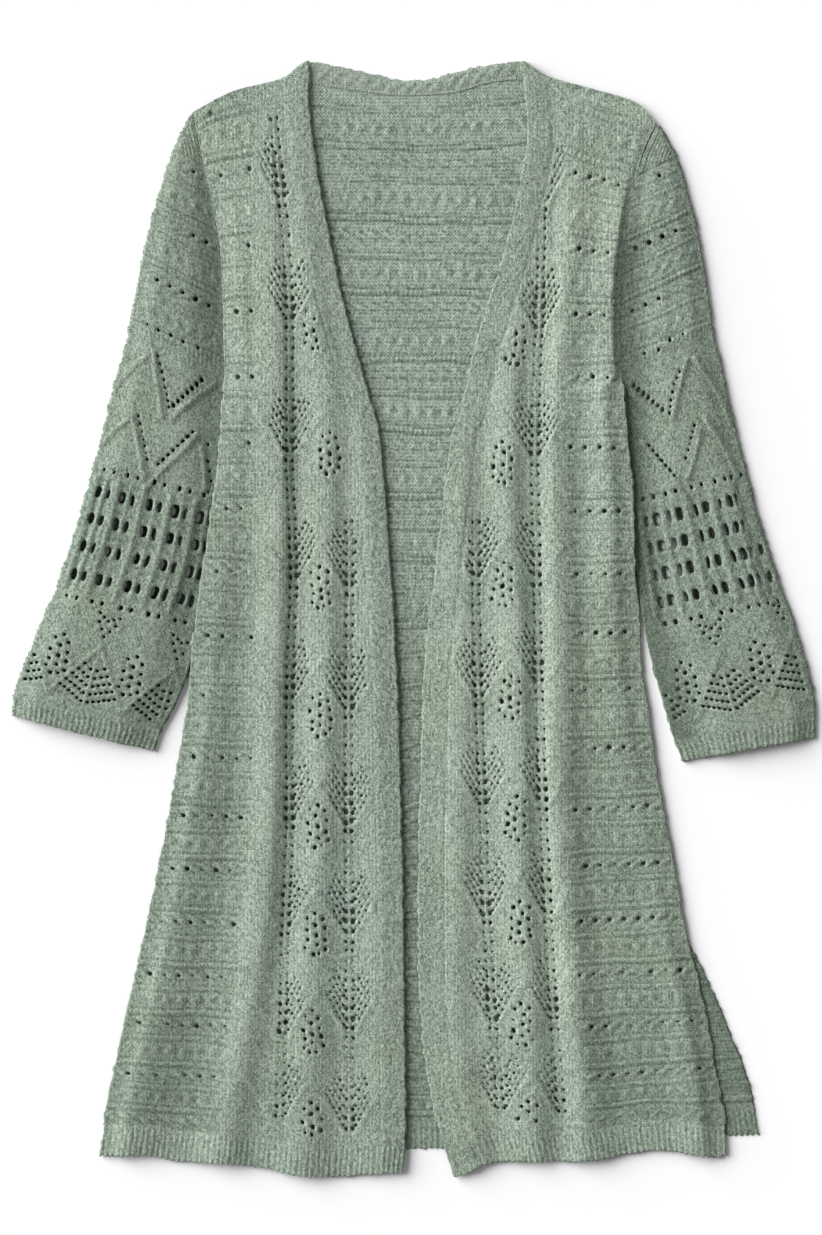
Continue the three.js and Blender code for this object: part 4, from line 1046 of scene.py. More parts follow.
def fern_column(x, y, column, dice):
    """Relief and eyelets of one column of fern lace: a spine between two rows of eyelets, and at each
    foot a fan of slits that runs up and out."""
    spine_x = column["spine"](y)
    off = x - spine_x
    foot_y = min(column["feet"]) - 4
    within = ease(y, foot_y - 6, foot_y + 6) * ease(y, column["top"] + 8, column["top"] - 8)
    herringbone = np.cos(2 * np.pi * (y - 0.6 * np.abs(off)) / (fern_pitch / 2))
    relief = (raised(off, spine_ridge) + raised(np.abs(off) - spine_cord_off, spine_cord)
              + raised(np.abs(off) - spine_track_off, spine_track)
              + herringbone * raised(off, herringbone_size)) * within
    eyelets = []
    feet = sorted(column["feet"])
    for foot in feet:
        above = [other for other in feet if other > foot]
        next_foot = min(above) if above else column["top"]
        count = round((next_foot - foot) / fern_pitch)
        for i in range(count):
            height = foot + (next_foot - foot) * i / count
            shrink = 1.1 - 0.45 * ease(i, 1, count * 0.5) * (1 - ease(i, count * 0.8, count))
            for hand in (-1, 1):
                low = low_fern_share if foot < low_fern else 1
                half = spine_eyelet_half * shrink * dice.uniform(0.7, 1.15) * low
                place = float(column["spine"](height)) + hand * spine_eyelet_off + dice.uniform(-0.5, 0.5)
                up = height + dice.uniform(-1.0, 1.0)
                eyelets.append((place, up, half, half * eyelet_tallness, hand * -0.3))
        near = (np.abs(off) < fern_width) & (y > foot - fern_below) & (y < foot + fern_above)
        if not near.any():
            continue
        base = float(column["spine"](foot))
        for hand in (-1, 1):
            way = fern_way * (hand, 1)
            here_x = x[near]
            here_y = y[near]
            lift = np.zeros(here_x.shape)
            hidden = foot < column["hidden_below"] and hand != column["shown"]
            for arm in range(0 if hidden else fern_arms):
                start = np.array([base + hand * 5.2, foot + 2.5 + fern_pitch * arm])
                length = (arm_length - arm_shortening * arm) * dice.uniform(0.85, 1.08)
                stop = start + way * length
                lift += cord_relief(here_x, here_y, [start, stop], arm_groove)
                beside = np.array([hand * 1.75, -0.9])
                lift += cord_relief(here_x, here_y, [start + beside, stop + beside], arm_cord)
                for i, place in enumerate(along_line(start, stop, arm_eyelet_pitch)):
                    half = arm_eyelet_half - 0.06 * i + dice.uniform(-0.22, 0.16)
                    if half > smallest_eyelet:
                        spot = place + dice.uniform(-0.4, 0.4, 2)
                        eyelets.append((*spot, half, half * 1.4, -hand * 0.49))
            outer = np.array([base + hand * 4, foot - 7])
            path = [outer, outer + way * 24, outer + way * 46 + np.array([hand * 3, 0])]
            lift += cord_relief(here_x, here_y, path, leaf_cord)
            relief[near] += lift
    return relief, eyelets


side_eyelet_margin = 4
side_eyelet_missing = 0.12
side_eyelet_halves = (0.95, 2.0)


def side_eyelets(side, dice):
    """Eyelets between the twists at the side of a front, from the first whole repeat down."""
    eyelets = []
    for number in range(1, 17):
        welt = number + welt_rows["twists"]["at"]
        side_y = float(side["side_y"](welt))
        side_x = float(side["side_x"](side_y))
        width = abs(float(side["panel"](side_y)) - side_x)
        for i in range(int((width - side_eyelet_margin) / twist_pitch) + 1):
            across = twist_pitch * i + 0.2
            inside = side_eyelet_margin <= across <= width - side_eyelet_margin
            if not inside or dice.random() < side_eyelet_missing:
                continue
            x = side_x + side["inward"] * across
            y = float(body_row(side, welt, np.array(x))[0])
            half = dice.uniform(*side_eyelet_halves)
            eyelets.append((x, y + dice.uniform(-0.6, 0.6), half, half * 1.05, side["inward"] * 0.4))
    return eyelets


front_dense_columns = (0.42, 1.1, 1.5)
front_twist_lean = 0.42
front_boldness = 0.8
front_grain = 0.2
shoulder_eyelet_half = 1.9
diamond_swell = 0.7
diamond_half_width = 15
diamond_half_height = 26
seam_groove = (0.4, 0.8)
lowest_eyelet = -450
eyelet_to_band = 5


def front_grid(side):
    """A front from its shoulder down to its ribs, and the eyelets of its lace."""
    rows_span = ([0, 0.05, 1], [first_welt, 1, last_welt])
    welt = np.interp(np.linspace(0, 1, front_row_count), *rows_span)[:, None]
    inward = side["inward"]
    side_y = side["side_y"](welt)
    side_x = side["side_x"](side_y)
    open_x = side["edge_x"](side["edge_y"](welt))
    seam_x = open_x - inward * (band_width - seam_lap)
    start = side_x + inward * 0.1
    x = start + (seam_x - start) * spaced(*front_dense_columns, front_column_count)
    y, side_x, open_x = body_row(side, welt, x)
    z = front_height(side, x, y, side_x, open_x)
    across = np.abs(x - side_x)
    pitch = np.abs(np.gradient(side_y, axis=0) / np.gradient(welt, axis=0))
    panel = ease((side["panel"](y) - x) * inward, -2, 5) * ease(across, 0, 2)
    dice = np.random.default_rng(side["seed"])
    relief = panel * welt_relief(welt, pitch, across, front_twist_lean, front_boldness)
    eyelets = side_eyelets(side, dice)
    for spot in side["shoulder_eyelets"]:
        eyelets.append((*spot, shoulder_eyelet_half, shoulder_eyelet_half, 0.3))
    lace = 1 - panel
    for column in side["columns"]:
        added, holes = fern_column(x, y, column, dice)
        relief += added * lace
        eyelets += [hole for hole in holes if (float(side["panel"](hole[1])) - hole[0]) * inward < -3]
    for centre_x, centre_y in side["diamonds"]:
        away = np.hypot((x - centre_x) / diamond_half_width, (y - centre_y) / diamond_half_height)
        relief += diamond_swell * ridge(away, 0.8)
        for dx, dy, half in diamond_eyelets:
            jitter = dice.uniform(-1.1, 1.1, 2)
            size = half * dice.uniform(0.8, 1.15)
            spot = (centre_x + dx * inward + jitter[0], centre_y + dy + jitter[1])
            eyelets.append((*spot, size, size * 1.35, dice.uniform(-0.6, 0.6)))
    eyelets = [hole for hole in eyelets if hole[1] > lowest_eyelet
               and abs(float(side["edge_x"](hole[1])) - hole[0]) > band_width + eyelet_to_band]
    wale = x / stitch_width
    course = -y / stitch_height
    relief += front_grain * yarn_grain(wale, course, side["seed"])
    relief *= ease(np.abs(x - seam_x), seam_lap, seam_lap + 2.4) * ease(across, 0, 2)
    in_armhole = ease(y, armhole_foot - armhole_fade, armhole_foot) * ease(y, *armhole_dip_span)
    armhole_dip = side["dip"] * ridge(across, armhole_dip_width) * in_armhole
    relief -= raised(x - seam_x, seam_groove) + armhole_dip
    return as_grid(x, y, z + relief, wale, course), relief, eyelets


def front_rib(side):
    """The ribbed hem of a front, with its rolled free ends."""
    inward = side["inward"]
    top_x = float(side["side_x"](rib_top_side)) + inward * edge_roll
    foot_x = float(side["side_x"](rib_foot_side)) + inward * edge_roll
    seam = band_width + seam_gap / 2 + 0.2
    ends = []
    for side_end, edge_height in ((top_x, rib_top_edge), (foot_x, rib_foot_edge)):
        ends.append((side_end, float(side["edge_x"](edge_height)) - inward * seam))
    side_at = flowing([rib_foot_side - 30, rib_top_side], [foot_x - inward, top_x - inward])

    def height(x, y):
        return front_height(side, x, y, side_at(y), side["edge_x"](y)) - 0.15

    patch, relief = rib_patch(*ends, front_hem_y, height, 18, side["seed"] + 4)
    for end in ("bottom", "left"):
        patch = rolled(patch, end, edge_roll, cloth - 0.2)
    # Painted shade in the rib's creases and towards the hem
    painted_shade = np.clip(crease_shade_of(relief, 3) + hem_painted_shade, 0, 1)
    return patch, [], with_rolls(painted_shade, ("bottom", "left"))


# Painted shade on the welted side panel for the shade in its purl, in the fold's valley beside the outer
# spine, and towards the hem
painted_purl_shade = 0.4
painted_purl_shade_run = (300, -200)
valley_half_width = 7
valley_run = (300, 150)
hem_painted_shade = 0.16
hem_painted_shade_run = (-300, -420)
front_yarn = knit_material("front yarn", dye(95, 112, 95), dye(203, 218, 202), 0.1, 0.0008)
for side, area, flat in ((right_front, 0.1433, (0.243, 0.9498)), (left_front, 0.1484, (0.2444, 0.9439))):
    body, relief, eyelets = front_grid(side)
    panel_side = (side["panel"](body[..., 1]) - body[..., 0]) * side["inward"]
    # Painted shade in the creases, on the side panel, in the valley and towards the hem
    painted_shade = crease_shade_of(relief) + painted_purl_shade * ease(panel_side, -4, 10) * ease(body[..., 1], *painted_purl_shade_run)
    valley_shade, valley_off = side["valley"]
    valley = body[..., 0] - side["columns"][0]["spine"](body[..., 1]) + valley_off
    painted_shade += valley_shade * ridge(valley, valley_half_width) * ease(body[..., 1], *valley_run)
    painted_shade = np.clip(painted_shade + hem_painted_shade * ease(body[..., 1], *hem_painted_shade_run), 0, 1)
    below_armhole = ease(body[:, 0, 1], armhole_foot, armhole_foot - armhole_step)
    body = rolled(body, "left", 0.05 + edge_roll * below_armhole, 0.3 + 1.7 * below_armhole)
    painted_shade = with_rolls(painted_shade, ("left",))
    piece = knit_piece(side["name"] + "_front_knit", [(body, eyelets, painted_shade), front_rib(side)])
    finish_piece(piece, front_yarn, side["name"] + "_front", flat, area)

# Front bands
# A plain moss-stitch strip along each opening edge, a little thicker than the fronts, with a soft
# crowned face and rolled edges. The right one ends in ribs at the hem, the left one runs plain.
band_cloth = 2.6
band_crown = 0.5
band_row_count = 740
band_foot_row_count = 22
band_column_count = 21
band_grain = 0.36
moss_height = 0.3
moss_wales = 0.5
moss_courses = 0.62
band_ribs = 5
band_rib_height = 0.42


def band_grid(side):
    """A band from its shoulder to the hem, with ribs at the foot of the right one."""
    inward = side["inward"]
    welt = np.linspace(first_welt, last_welt, band_row_count)[:, None]
    edge_y = side["edge_y"](welt)
    open_x = side["edge_x"](edge_y)
    share = np.linspace(0, 1, band_column_count)[None, :]
    near_seam = open_x - inward * band_width
    x = near_seam + (open_x - inward * edge_roll - near_seam) * share
    y, side_x, open_x = body_row(side, welt, x)
    drop = np.linspace(0, 1, band_foot_row_count)[1:, None]
    foot_open = side["edge_x"](rib_top_edge + (rib_foot_edge - rib_top_edge) * drop)
    foot_seam = foot_open - inward * band_width
    foot_x = foot_seam + (foot_open - inward * edge_roll - foot_seam) * share
    foot_y = front_hem_y(foot_x) + hem_rib * (1 - drop)
    x = np.concatenate([x, foot_x])
    y = np.concatenate([y, foot_y])
    foot_side = side["side_x"](rib_top_side + (rib_foot_side - rib_top_side) * drop)
    side_x = np.concatenate([side_x, foot_side])
    open_x = np.concatenate([open_x, foot_open])
    z = front_height(side, x, y, side_x, open_x) + (band_cloth - cloth) * ease(share, 0, 0.15)
    z = z + band_crown * np.sin(np.pi * share)
    wale = x / stitch_width
    course = -y / stitch_height
    relief = band_grain * yarn_grain(wale, course, side["seed"] + 8)
    relief += moss_height * yarn_grain(wale * moss_wales, course * moss_courses, side["seed"] + 9)
    if side["name"] == "right":
        rib_top = front_hem_y(x) + hem_rib
        ribbed = ease(y, rib_top, rib_top - 6)
        relief += band_rib_height * ribbed * (np.cos(share * band_ribs * 2 * np.pi) - rib_base)
    relief *= ease(share, 0, 0.1)
    return as_grid(x, y, z + relief, wale, course), relief


# Painted shade on the bands, more of it towards the hem
band_painted_shade_run = (60, -300)
# Reach and drop of each rolled edge of a band
band_rolls = {
    "right": (edge_roll, band_cloth - 0.1),
    "bottom": (edge_roll, band_cloth - 0.3),
    "top": (0.6, band_cloth - 0.6),
}
# How dark a band's rolled edges are painted, as painted shade. The left one's free edge turns to the light,
# and its rim gets more painted shade.
band_edge_painted_shade = {"right": 0.2, "left": 0.45}
left_rim_painted_shade = 0.12
band_yarn = knit_material("band yarn", dye(94, 110, 94), dye(195, 210, 194), 0.55, 0.0009)
for side in (right_front, left_front):
    strip, relief = band_grid(side)
    painted_shade = np.clip(crease_shade_of(relief, 4) + hem_painted_shade * ease(strip[..., 1], *band_painted_shade_run), 0, 1)
    for end, (reach, drop) in band_rolls.items():
        strip = rolled(strip, end, reach, drop)
    painted_shade = with_rolls(painted_shade, band_rolls, band_edge_painted_shade[side["name"]])
    if side["name"] == "left":
        painted_shade[:, -5:-3] += left_rim_painted_shade
    painted_shade = np.clip(painted_shade, 0, 1)
    piece = knit_piece(side["name"] + "_front_band_knit", [(strip, [], painted_shade)])
    finish_piece(piece, band_yarn, side["name"] + "_front_band", (0.0225, 0.985), 0.0221)

# Sleeves
# Each sleeve is a flat tube of two layers, sewn into the armhole and tucked under the body's side. It has
# welts and twists as on the body, two wide chevrons of cords and eyelets, a lattice of open holes in
# pairs, a row of fans and a ribbed cuff.
sleeve_puff = 6.0
full_puff_width = 90
outer_run = 24
head_run = 60
sleeve_row_count = 410
sleeve_column_count = 88
outer_reach = 2.2
edge_scallop = 0.5
low_welt = 222

# What a sleeve's table holds. "inner" are heights down the body side, and "outer_x" and "outer_y" the place
# on the outer edge for each. "tuck" is how far the sleeve lies under the body at the first of them, and
# "free" its own edge at the rest. An eyelet line has its points, its pitch and the eyelets' half width.
right_sleeve = {
    "name": "right", "inward": 1, "side_x": right_side_x, "seed": 31, "lattice": 54, "dip": 1.3,
    "body_painted_shadow": (0.45, 46), "welts": flowing([394, 333, 278, 222], [1, 2, 3, 4]), "pitch": 58,
    "inner": [437, 394, 333, 278, 222, 214, 193, 165, 134, 108, 54, -2, -40, -72, -96, -115],
    "tuck": [-0.3, -0.3, -0.3, -0.3, -0.3, -0.3, -0.3, 3, 5, 8, 8, -0.3],
    "free": [-194.4, -206, -219, -226],
    "outer_x": [-196, -208, -224, -236, -246.5, -248, -254, -262, -270, -277, -292, -311, -327, -340,
                -347.7, -349],
    "outer_y": [433, 409, 360, 313, 258, 250, 226, 197, 164, 137, 84, 26, -12, -43, -67, -84],
    "pairs": [0.105, 0.29, 0.483, 0.687, 0.868], "cuff": -96,
    "fan": (-271.9, -28.4), "down": (-0.29, -0.957), "rise": (1, 38),
    "eyelet_lines": [
        ([(-230.7, 254.3), (-221.2, 249), (-210.2, 244.7), (-199.6, 239), (-187, 234), (-175.7, 229.9)],
         11, 1.5),
        ([(-221.6, 226.7), (-218, 213), (-214.8, 199.2), (-211, 177)], 5.2, 1.35),
        ([(-208, 184), (-179.9, 209.8)], 5.3, 2.0),
        ([(-238.1, 174.9), (-233.9, 154.8), (-229.6, 131.5)], 5.2, 1.35),
        ([(-191.5, 161.1), (-225.4, 129.4)], 5.3, 1.7),
        ([(-178.4, 150.5), (-178.4, 135.7), (-175.7, 118.8), (-180.9, 99.7)], 8.5, 1.5),
    ],
    "cords": [
        [(-225.4, 231), (-223.3, 209.8), (-220.1, 188.6), (-218, 173.8)],
        [(-172.5, 203), (-189.4, 190.8), (-202.1, 180.2), (-209.5, 171.7)],
        [(-231.8, 226.7), (-244.5, 216.2), (-257.2, 203.5), (-266.7, 188.6), (-269.9, 161.1)],
        [(-243.4, 173.8), (-240.2, 156.9), (-237, 140), (-233.9, 123)],
        [(-187.3, 159), (-202.1, 143.1), (-219, 127.3), (-231.8, 112.4)],
        [(-244.5, 174.9), (-257.2, 165.4), (-267.7, 154.8), (-273, 147.4)],
        [(-184.1, 148.4), (-182, 131.5), (-180.9, 112.4)],
    ],
}
left_sleeve = {
    "name": "left", "inward": -1, "side_x": left_side_x, "seed": 32, "lattice": 51, "dip": 0,
    "body_painted_shadow": (0.85, 38), "welts": flowing([385, 328, 273, 222], [1, 2, 3, 4]), "pitch": 55,
    "inner": [427, 385, 328, 273, 222, 214, 193, 161, 134, 106, 51, 0, -32, -75, -105, -124],
    "tuck": [-0.3, -0.3, -0.3, -0.3, -0.3, -0.3, -0.3, 3, 4.5, 6, -0.3],
    "free": [197.5, 204, 216, 224.7, 232],
    "outer_x": [213, 226, 241, 251, 258, 259, 264.6, 272.5, 279, 286.5, 300.7, 318, 332, 343, 347.7, 346.8],
    "outer_y": [426, 402, 354, 307, 258, 250, 226, 191, 162, 132, 79, 27, -13, -52, -83, -103],
    "pairs": [0.185, 0.364, 0.577, 0.77, 0.905], "cuff": -105,
    "fan": (264.0, -34.4), "down": (0.265, -0.964), "rise": (15, 32),
    "eyelet_lines": [
        ([(198.9, 229.3), (211.2, 232.1), (220.7, 240.5), (231.9, 245.8), (242.5, 249)], 10.5, 1.5),
        ([(190, 201.4), (218.6, 177.1)], 5.3, 2.0),
        ([(229.2, 213), (224.3, 202.5), (221.8, 188.7), (219.7, 171.8)], 5.2, 1.35),
        ([(202.7, 149.6), (228.1, 119.3)], 5.3, 1.7),
        ([(241.9, 166.5), (236.6, 145.4), (232.3, 131.6)], 5.2, 1.35),
    ],
    "cords": [
        [(235.5, 224.7), (231.3, 209.9), (228.1, 195.1), (223.9, 176)],
        [(187.9, 195.1), (202.7, 180.3), (215.4, 170.7)],
        [(241.9, 224.7), (251.4, 212), (262, 195.1), (269.4, 180.3), (273.6, 167.6)],
        [(247.1, 163.3), (244, 148.5), (239.7, 131.6), (235.5, 121)],
        [(197.5, 152.8), (209.1, 135.8), (221.8, 123.2), (230.2, 112.6)],
        [(251.4, 171.8), (262, 157), (270.4, 142.2), (278.9, 123.2)],
    ],
}


def sleeve_layout(sleeve):
    """The function that gives x, y and the row's width, at a height v on the body side and a share of the
    way across."""
    inner = np.array(sleeve["inner"], float)
    tucked = len(sleeve["tuck"])
    last = inner[tucked - 1]
    tuck = flowing(inner[:tucked], sleeve["tuck"])
    last_x = float(sleeve["side_x"](last)) + sleeve["inward"] * sleeve["tuck"][-1]
    free = flowing([last, *inner[tucked:]], [last_x, *sleeve["free"]])
    outer_x = flowing(inner, sleeve["outer_x"])
    outer_y = flowing(inner, sleeve["outer_y"])

    def place(v, share):
        start = np.where(v >= last, sleeve["side_x"](v) + sleeve["inward"] * tuck(v), free(v))
        stop = outer_x(v)
        width = np.hypot(stop - start, outer_y(v) - v)
        return start + (stop - start) * share, v + (outer_y(v) - v) * share, width

    return place


def puff(sleeve, v, distance, width):
    """How far the upper layer stands off the lower one."""
    room = np.minimum(1, width / full_puff_width)
    low_run, rise_run = sleeve["rise"]
    from_body = ease(distance / room, low_run, low_run + rise_run)
    from_outer = ease((width - distance) / room, 0, outer_run)
    return sleeve_puff * room * from_body * from_outer * ease(sleeve["inner"][0] - v, 0, head_run)


hole_pitch = 23.3
hole_rows = 4
pair_spacing = 9
hole_half_width = 2.9
hole_half_height = 5.4
upper_row_shift = 3.5
lower_row_shift = 5
# Least and greatest share of a hole's full size. In each pair the hole towards the cuff's outer edge is
# the narrow one.
small_widths = (0.45, 0.62)
wide_widths = (0.9, 1.15)
narrow_widths = (0.55, 0.85)
small_heights = (0.32, 0.5)
full_heights = (0.85, 1.1)
hole_taper = 0.4


def lattice_holes(sleeve, place, shares):
    """Open holes of the lattice in pairs, four rows of them, with small eyelets above and below."""
    dice = np.random.default_rng(sleeve["seed"] + 5)
    holes = []
    for row in range(-1, hole_rows + 1):
        small = row in (-1, hole_rows)
        middle = sleeve["lattice"] + hole_pitch * (1 - row) + hole_half_height
        middle = middle - upper_row_shift * (row == -1) + lower_row_shift * (row == hole_rows)
        for centre in shares:
            for hand in (1, -1):
                _, _, width = place(np.array(middle), centre)
                share = centre + hand * pair_spacing / 2 / float(width)
                x, y, _ = place(np.array(middle), share)
                upper_x, upper_y, _ = place(np.array(middle + 6.0), share)
                lean = float(np.arctan2(x - upper_x, upper_y - y))
                full_widths = wide_widths if hand > 0 else narrow_widths
                scale = dice.uniform(*(small_widths if small else full_widths))
                scale *= 1.1 - hole_taper * centre
                tall = dice.uniform(*(small_heights if small else full_heights))
                lean += dice.uniform(-0.12, 0.12)
                holes.append((float(x), float(y), hole_half_width * scale, hole_half_height * tall, lean))
    return holes


fan_reach = 27
fan_depth = 40
fan_middle = 50
fan_rows = 7
fan_spacing = 66
fan_spine = (0.55, 1.3)
fan_rib = (0.95, 2.0)
fan_groove = (-0.3, 1.1)
fan_eyelet_pitch = 4.2
fan_eyelet = (1.6, 1.3)
shortest_fan_row = 4
between_fans = (33, 13)
bud_spread = (-9, -4.5, 0, 4.5, 9)


def fan_row(sleeve, x, y):
    """Relief and eyelets of the fans above the cuff, with a small diamond between each two and a bud of
    eyelets above each."""
    down = np.array(sleeve["down"])
    across = np.array([-down[1], down[0]]) * sleeve["inward"]
    dice = np.random.default_rng(sleeve["seed"] + 9)
    apex = np.array(sleeve["fan"])

    def at(side_step, down_step):
        return apex + across * side_step + down * down_step

    relief = np.zeros_like(x)
    eyelets = []

    def eyelet(spot, half, tall):
        lean = float(np.arctan2(-down[0], -down[1]))
        eyelets.append((*(spot + dice.uniform(-0.25, 0.25, 2)), half, tall, lean))

    for step in (-fan_spacing, 0, fan_spacing):
        relief += cord_relief(x, y, [at(step, 2), at(step, fan_middle)], fan_spine)
        for hand in (-1, 1):
            corner = at(step + hand * (fan_reach + 5), fan_depth + 5)
            relief += cord_relief(x, y, [at(step, -4), corner], fan_rib)
            for row in range(1, fan_rows):
                share = (row + 0.35) / fan_rows
                outer = at(step + hand * fan_reach * share, fan_depth * share)
                inner = at(step + hand * 3, fan_middle * share)
                if np.hypot(*(outer - inner)) < shortest_fan_row:
                    continue
                relief += cord_relief(x, y, [outer, inner], fan_groove)
                for spot in along_line(outer, inner, fan_eyelet_pitch):
                    eyelet(spot, *fan_eyelet)
        for dx, dy, half in diamond_eyelets:
            eyelet(at(step + between_fans[0] + dx, between_fans[1] - dy * 0.95), half * 1.12, half * 1.2)
        for dx in bud_spread:
            eyelet(at(step + dx, -27 - 0.55 * abs(dx)), 1.2, 1.45)
            eyelet(at(step + dx * 0.8, -13 - 1.3 * abs(dx)), 1.3, 1.45)
    return relief, eyelets


sleeve_waves = 0.35
sleeve_twist_lean = 0.42
sleeve_boldness = 0.9
sleeve_lap_run = 14
sleeve_eyelet_missing = 0.25
sleeve_eyelet_halves = (1.3, 2.1)
round_eyelet = 1.9
widest_pitch = 10
chevron_cord = (1.5, 2.3)
lattice_above = 16
lattice_below = 8
plait_pitch = 7.8
lattice_cord = (1.7, 2.5)
lattice_bridge = (0.6, 1.2)
lattice_bar = (0.5, 4.5)
bar_clearance = 3.2
gather_height = 0.7
gather_pitch = 7.4
gather_middle = 13
gather_width = 10
sleeve_grain = 0.15
seam_in_sleeve = (0.6, 0.8)
body_shadow_span = (370, 300)


def sleeve_top(sleeve):
    """Grid, eyelets and painted shade of a sleeve's upper layer down to its cuff, and its layout."""
    place = sleeve_layout(sleeve)
    head = sleeve["inner"][0]
    cuff = sleeve["cuff"]
    v = np.interp(np.linspace(0, 1, sleeve_row_count), [0, 0.7, 1], [head, 20, cuff])[:, None]
    ends = place(v, 1)[2]
    start = (0.1 - (seam_lap + 0.2) * ease(v, armhole_foot - sleeve_lap_run, armhole_foot)) / ends
    share = start + (1 - outer_reach / ends - start) * np.linspace(0, 1, sleeve_column_count)
    x, y, width = place(v, share)
    distance = share * width
    outward = -sleeve["inward"]
    x = x + outward * edge_scallop * np.cos(2 * np.pi * v / rib_pitch) * share ** 10
    z = 2 * cloth + seam_gap + puff(sleeve, v, distance, width)
    from_outer = width - distance
    waves = sleeve_waves * slow_waves(x, y, sleeve["seed"])
    z = z + waves * ease(from_outer, 0, outer_run) * ease(distance, 6, 40)
    body_side = ease(distance, 0, 3)
    outer_side = ease(from_outer, 1.5, 6)
    welted = ease(v, low_welt - 12, low_welt - 2)
    welts = welt_relief(sleeve["welts"](v), sleeve["pitch"], distance, sleeve_twist_lean, sleeve_boldness)
    relief = welted * welts * outer_side
    eyelets = []
    dice = np.random.default_rng(sleeve["seed"])
    for welt in (1, 2, 3):
        row_v = float(np.interp(welt + welt_rows["twists"]["at"], sleeve["welts"](v).ravel(), v.ravel()))
        row_width = float(place(np.array(row_v), 1)[2])
        for i in range(1, int(row_width / twist_pitch)):
            if dice.random() < sleeve_eyelet_missing:
                continue
            spot_x, spot_y, _ = place(np.array(row_v), (twist_pitch * i + 0.2) / row_width)
            half = dice.uniform(*sleeve_eyelet_halves)
            eyelets.append((float(spot_x), float(spot_y), half, half, 0.4 * sleeve["inward"]))
    for points, pitch, half in sleeve["eyelet_lines"]:
        for start_point, stop_point in zip(points, points[1:]):
            way = np.array(stop_point) - start_point
            lean = 0.3 * sleeve["inward"]
            if half < round_eyelet and pitch < widest_pitch:
                lean = float(np.arctan2(-way[0], way[1]))
            spots = [np.array(start_point)]
            if pitch < widest_pitch:
                spots = along_line(start_point, stop_point, pitch)
            for spot in spots[:-1] if len(spots) > 1 else spots:
                size = half * dice.uniform(0.85, 1.1)
                eyelets.append((*spot, size * 0.8, size * 1.15, lean))
    for cord in sleeve["cords"]:
        relief += cord_relief(x, y, cord, chevron_cord)
    lattice_top = sleeve["lattice"] + hole_pitch + lattice_above
    lattice_foot = sleeve["lattice"] - hole_pitch * (hole_rows - 2) - lattice_below
    lattice = ease(v, lattice_foot - 4, lattice_foot + 4) * ease(v, lattice_top + 8, lattice_top)
    pairs = np.array(sleeve["pairs"])
    middles = np.concatenate([[pairs[0] * 2 - (pairs[0] + pairs[1]) / 2], (pairs[1:] + pairs[:-1]) / 2,
                              [pairs[-1] * 2 - (pairs[-1] + pairs[-2]) / 2]])
    to_cord = np.min([np.abs(share - middle) for middle in middles], axis=0) * width
    to_pair = np.min([np.abs(share - pair) for pair in pairs], axis=0) * width
    plait = 0.75 + 0.25 * np.cos(2 * np.pi * v / plait_pitch)
    phase = (v - sleeve["lattice"] - hole_half_height) / hole_pitch
    bar = raised(np.abs((phase % 1) - 0.5) * hole_pitch, lattice_bar)
    relief += lattice * (plait * raised(to_cord, lattice_cord) + raised(to_pair, lattice_bridge)
                         - bar * (1 - ridge(to_cord, bar_clearance)))
    gathers = np.cos(2 * np.pi * from_outer / gather_pitch)
    gathers = gathers * ridge(from_outer - gather_middle, gather_width)
    relief += gather_height * lattice * gathers
    eyelets += lattice_holes(sleeve, place, sleeve["pairs"])
    fans, fan_eyelets = fan_row(sleeve, x, y)
    relief += fans * ease(v, lattice_foot, lattice_foot - 14)
    eyelets += fan_eyelets
    relief = relief * body_side * outer_side
    wale = distance / stitch_width
    course = -v / stitch_height
    relief += sleeve_grain * yarn_grain(wale + 60, course, sleeve["seed"])
    dip = sleeve["dip"] * ridge(distance, armhole_dip_width) * ease(v, *armhole_dip_span)
    seam = raised(distance - start * ends, seam_in_sleeve)
    relief -= (seam + dip) * ease(v, armhole_foot - armhole_fade, armhole_foot)
    grid = as_grid(x, y, z + relief, wale, course)
    # Painted shadow on the sleeve beside the body's side, which stands over it, and painted shade in its
    # creases
    shade, shade_run = sleeve["body_painted_shadow"]
    near_body = (1 - ease(distance, 0, shade_run)) * ease(v, *body_shadow_span)
    painted_shade = with_rolls(np.clip(crease_shade_of(relief) + shade * near_body, 0, 1), ("left", "right"))
    drop = 0.3 + 3.8 * ease(v.ravel(), armhole_foot, armhole_foot - armhole_step)
    grid = rolled(grid, "left", 0.05, drop)
    grid = rolled(grid, "right", outer_reach, 2 * cloth + seam_gap - 0.1)
    return (grid, eyelets, painted_shade), place


cuff_columns = 5
cuff_rib_height = 0.34
cuff_rib_base = 0.35
# Reach and drop of each rolled edge of a cuff, and of the lower layer
cuff_rolls = {
    "left": (0.3, 4.4),
    "right": (outer_reach, 2 * cloth + seam_gap - 0.1),
    "bottom": (edge_roll, cloth - 0.1),
}
under_rolls = {end: (1.0, cloth - 0.3) for end in ("left", "right", "bottom")}


def cuff_patch(sleeve, place):
    """Ribbed end of a sleeve's upper layer."""
    head = sleeve["cuff"]
    foot = sleeve["inner"][-1]
    v = np.linspace(head, foot + edge_roll, 16)[:, None]
    width = place(v, 1)[2]
    ribs = round(float(width.mean()) / rib_pitch)
    start = 0.5 / width
    fraction = np.linspace(0, 1, ribs * cuff_columns + 1)[None, :]
    share = start + (1 - outer_reach / width - start) * fraction
    x, y, width = place(v, share)
    distance = share * width
    crest = np.cos(fraction * ribs * 2 * np.pi + 0.3 * np.sin(v * 0.4))
    wale = distance / stitch_width
    course = -v / stitch_height
    relief = cuff_rib_height * (crest - cuff_rib_base) * ease(head - v, 0, 5)
    relief = relief * ease(width - distance, 1.5, 5)
    relief += front_grain * yarn_grain(wale, course, sleeve["seed"] + 2)
    z = 2 * cloth + seam_gap + puff(sleeve, v, distance, width) + relief
    grid = as_grid(x, y, z, wale, course)
    for end, (reach, drop) in cuff_rolls.items():
        grid = rolled(grid, end, reach, drop)
    return grid, [], with_rolls(crease_shade_of(relief, 3), cuff_rolls)


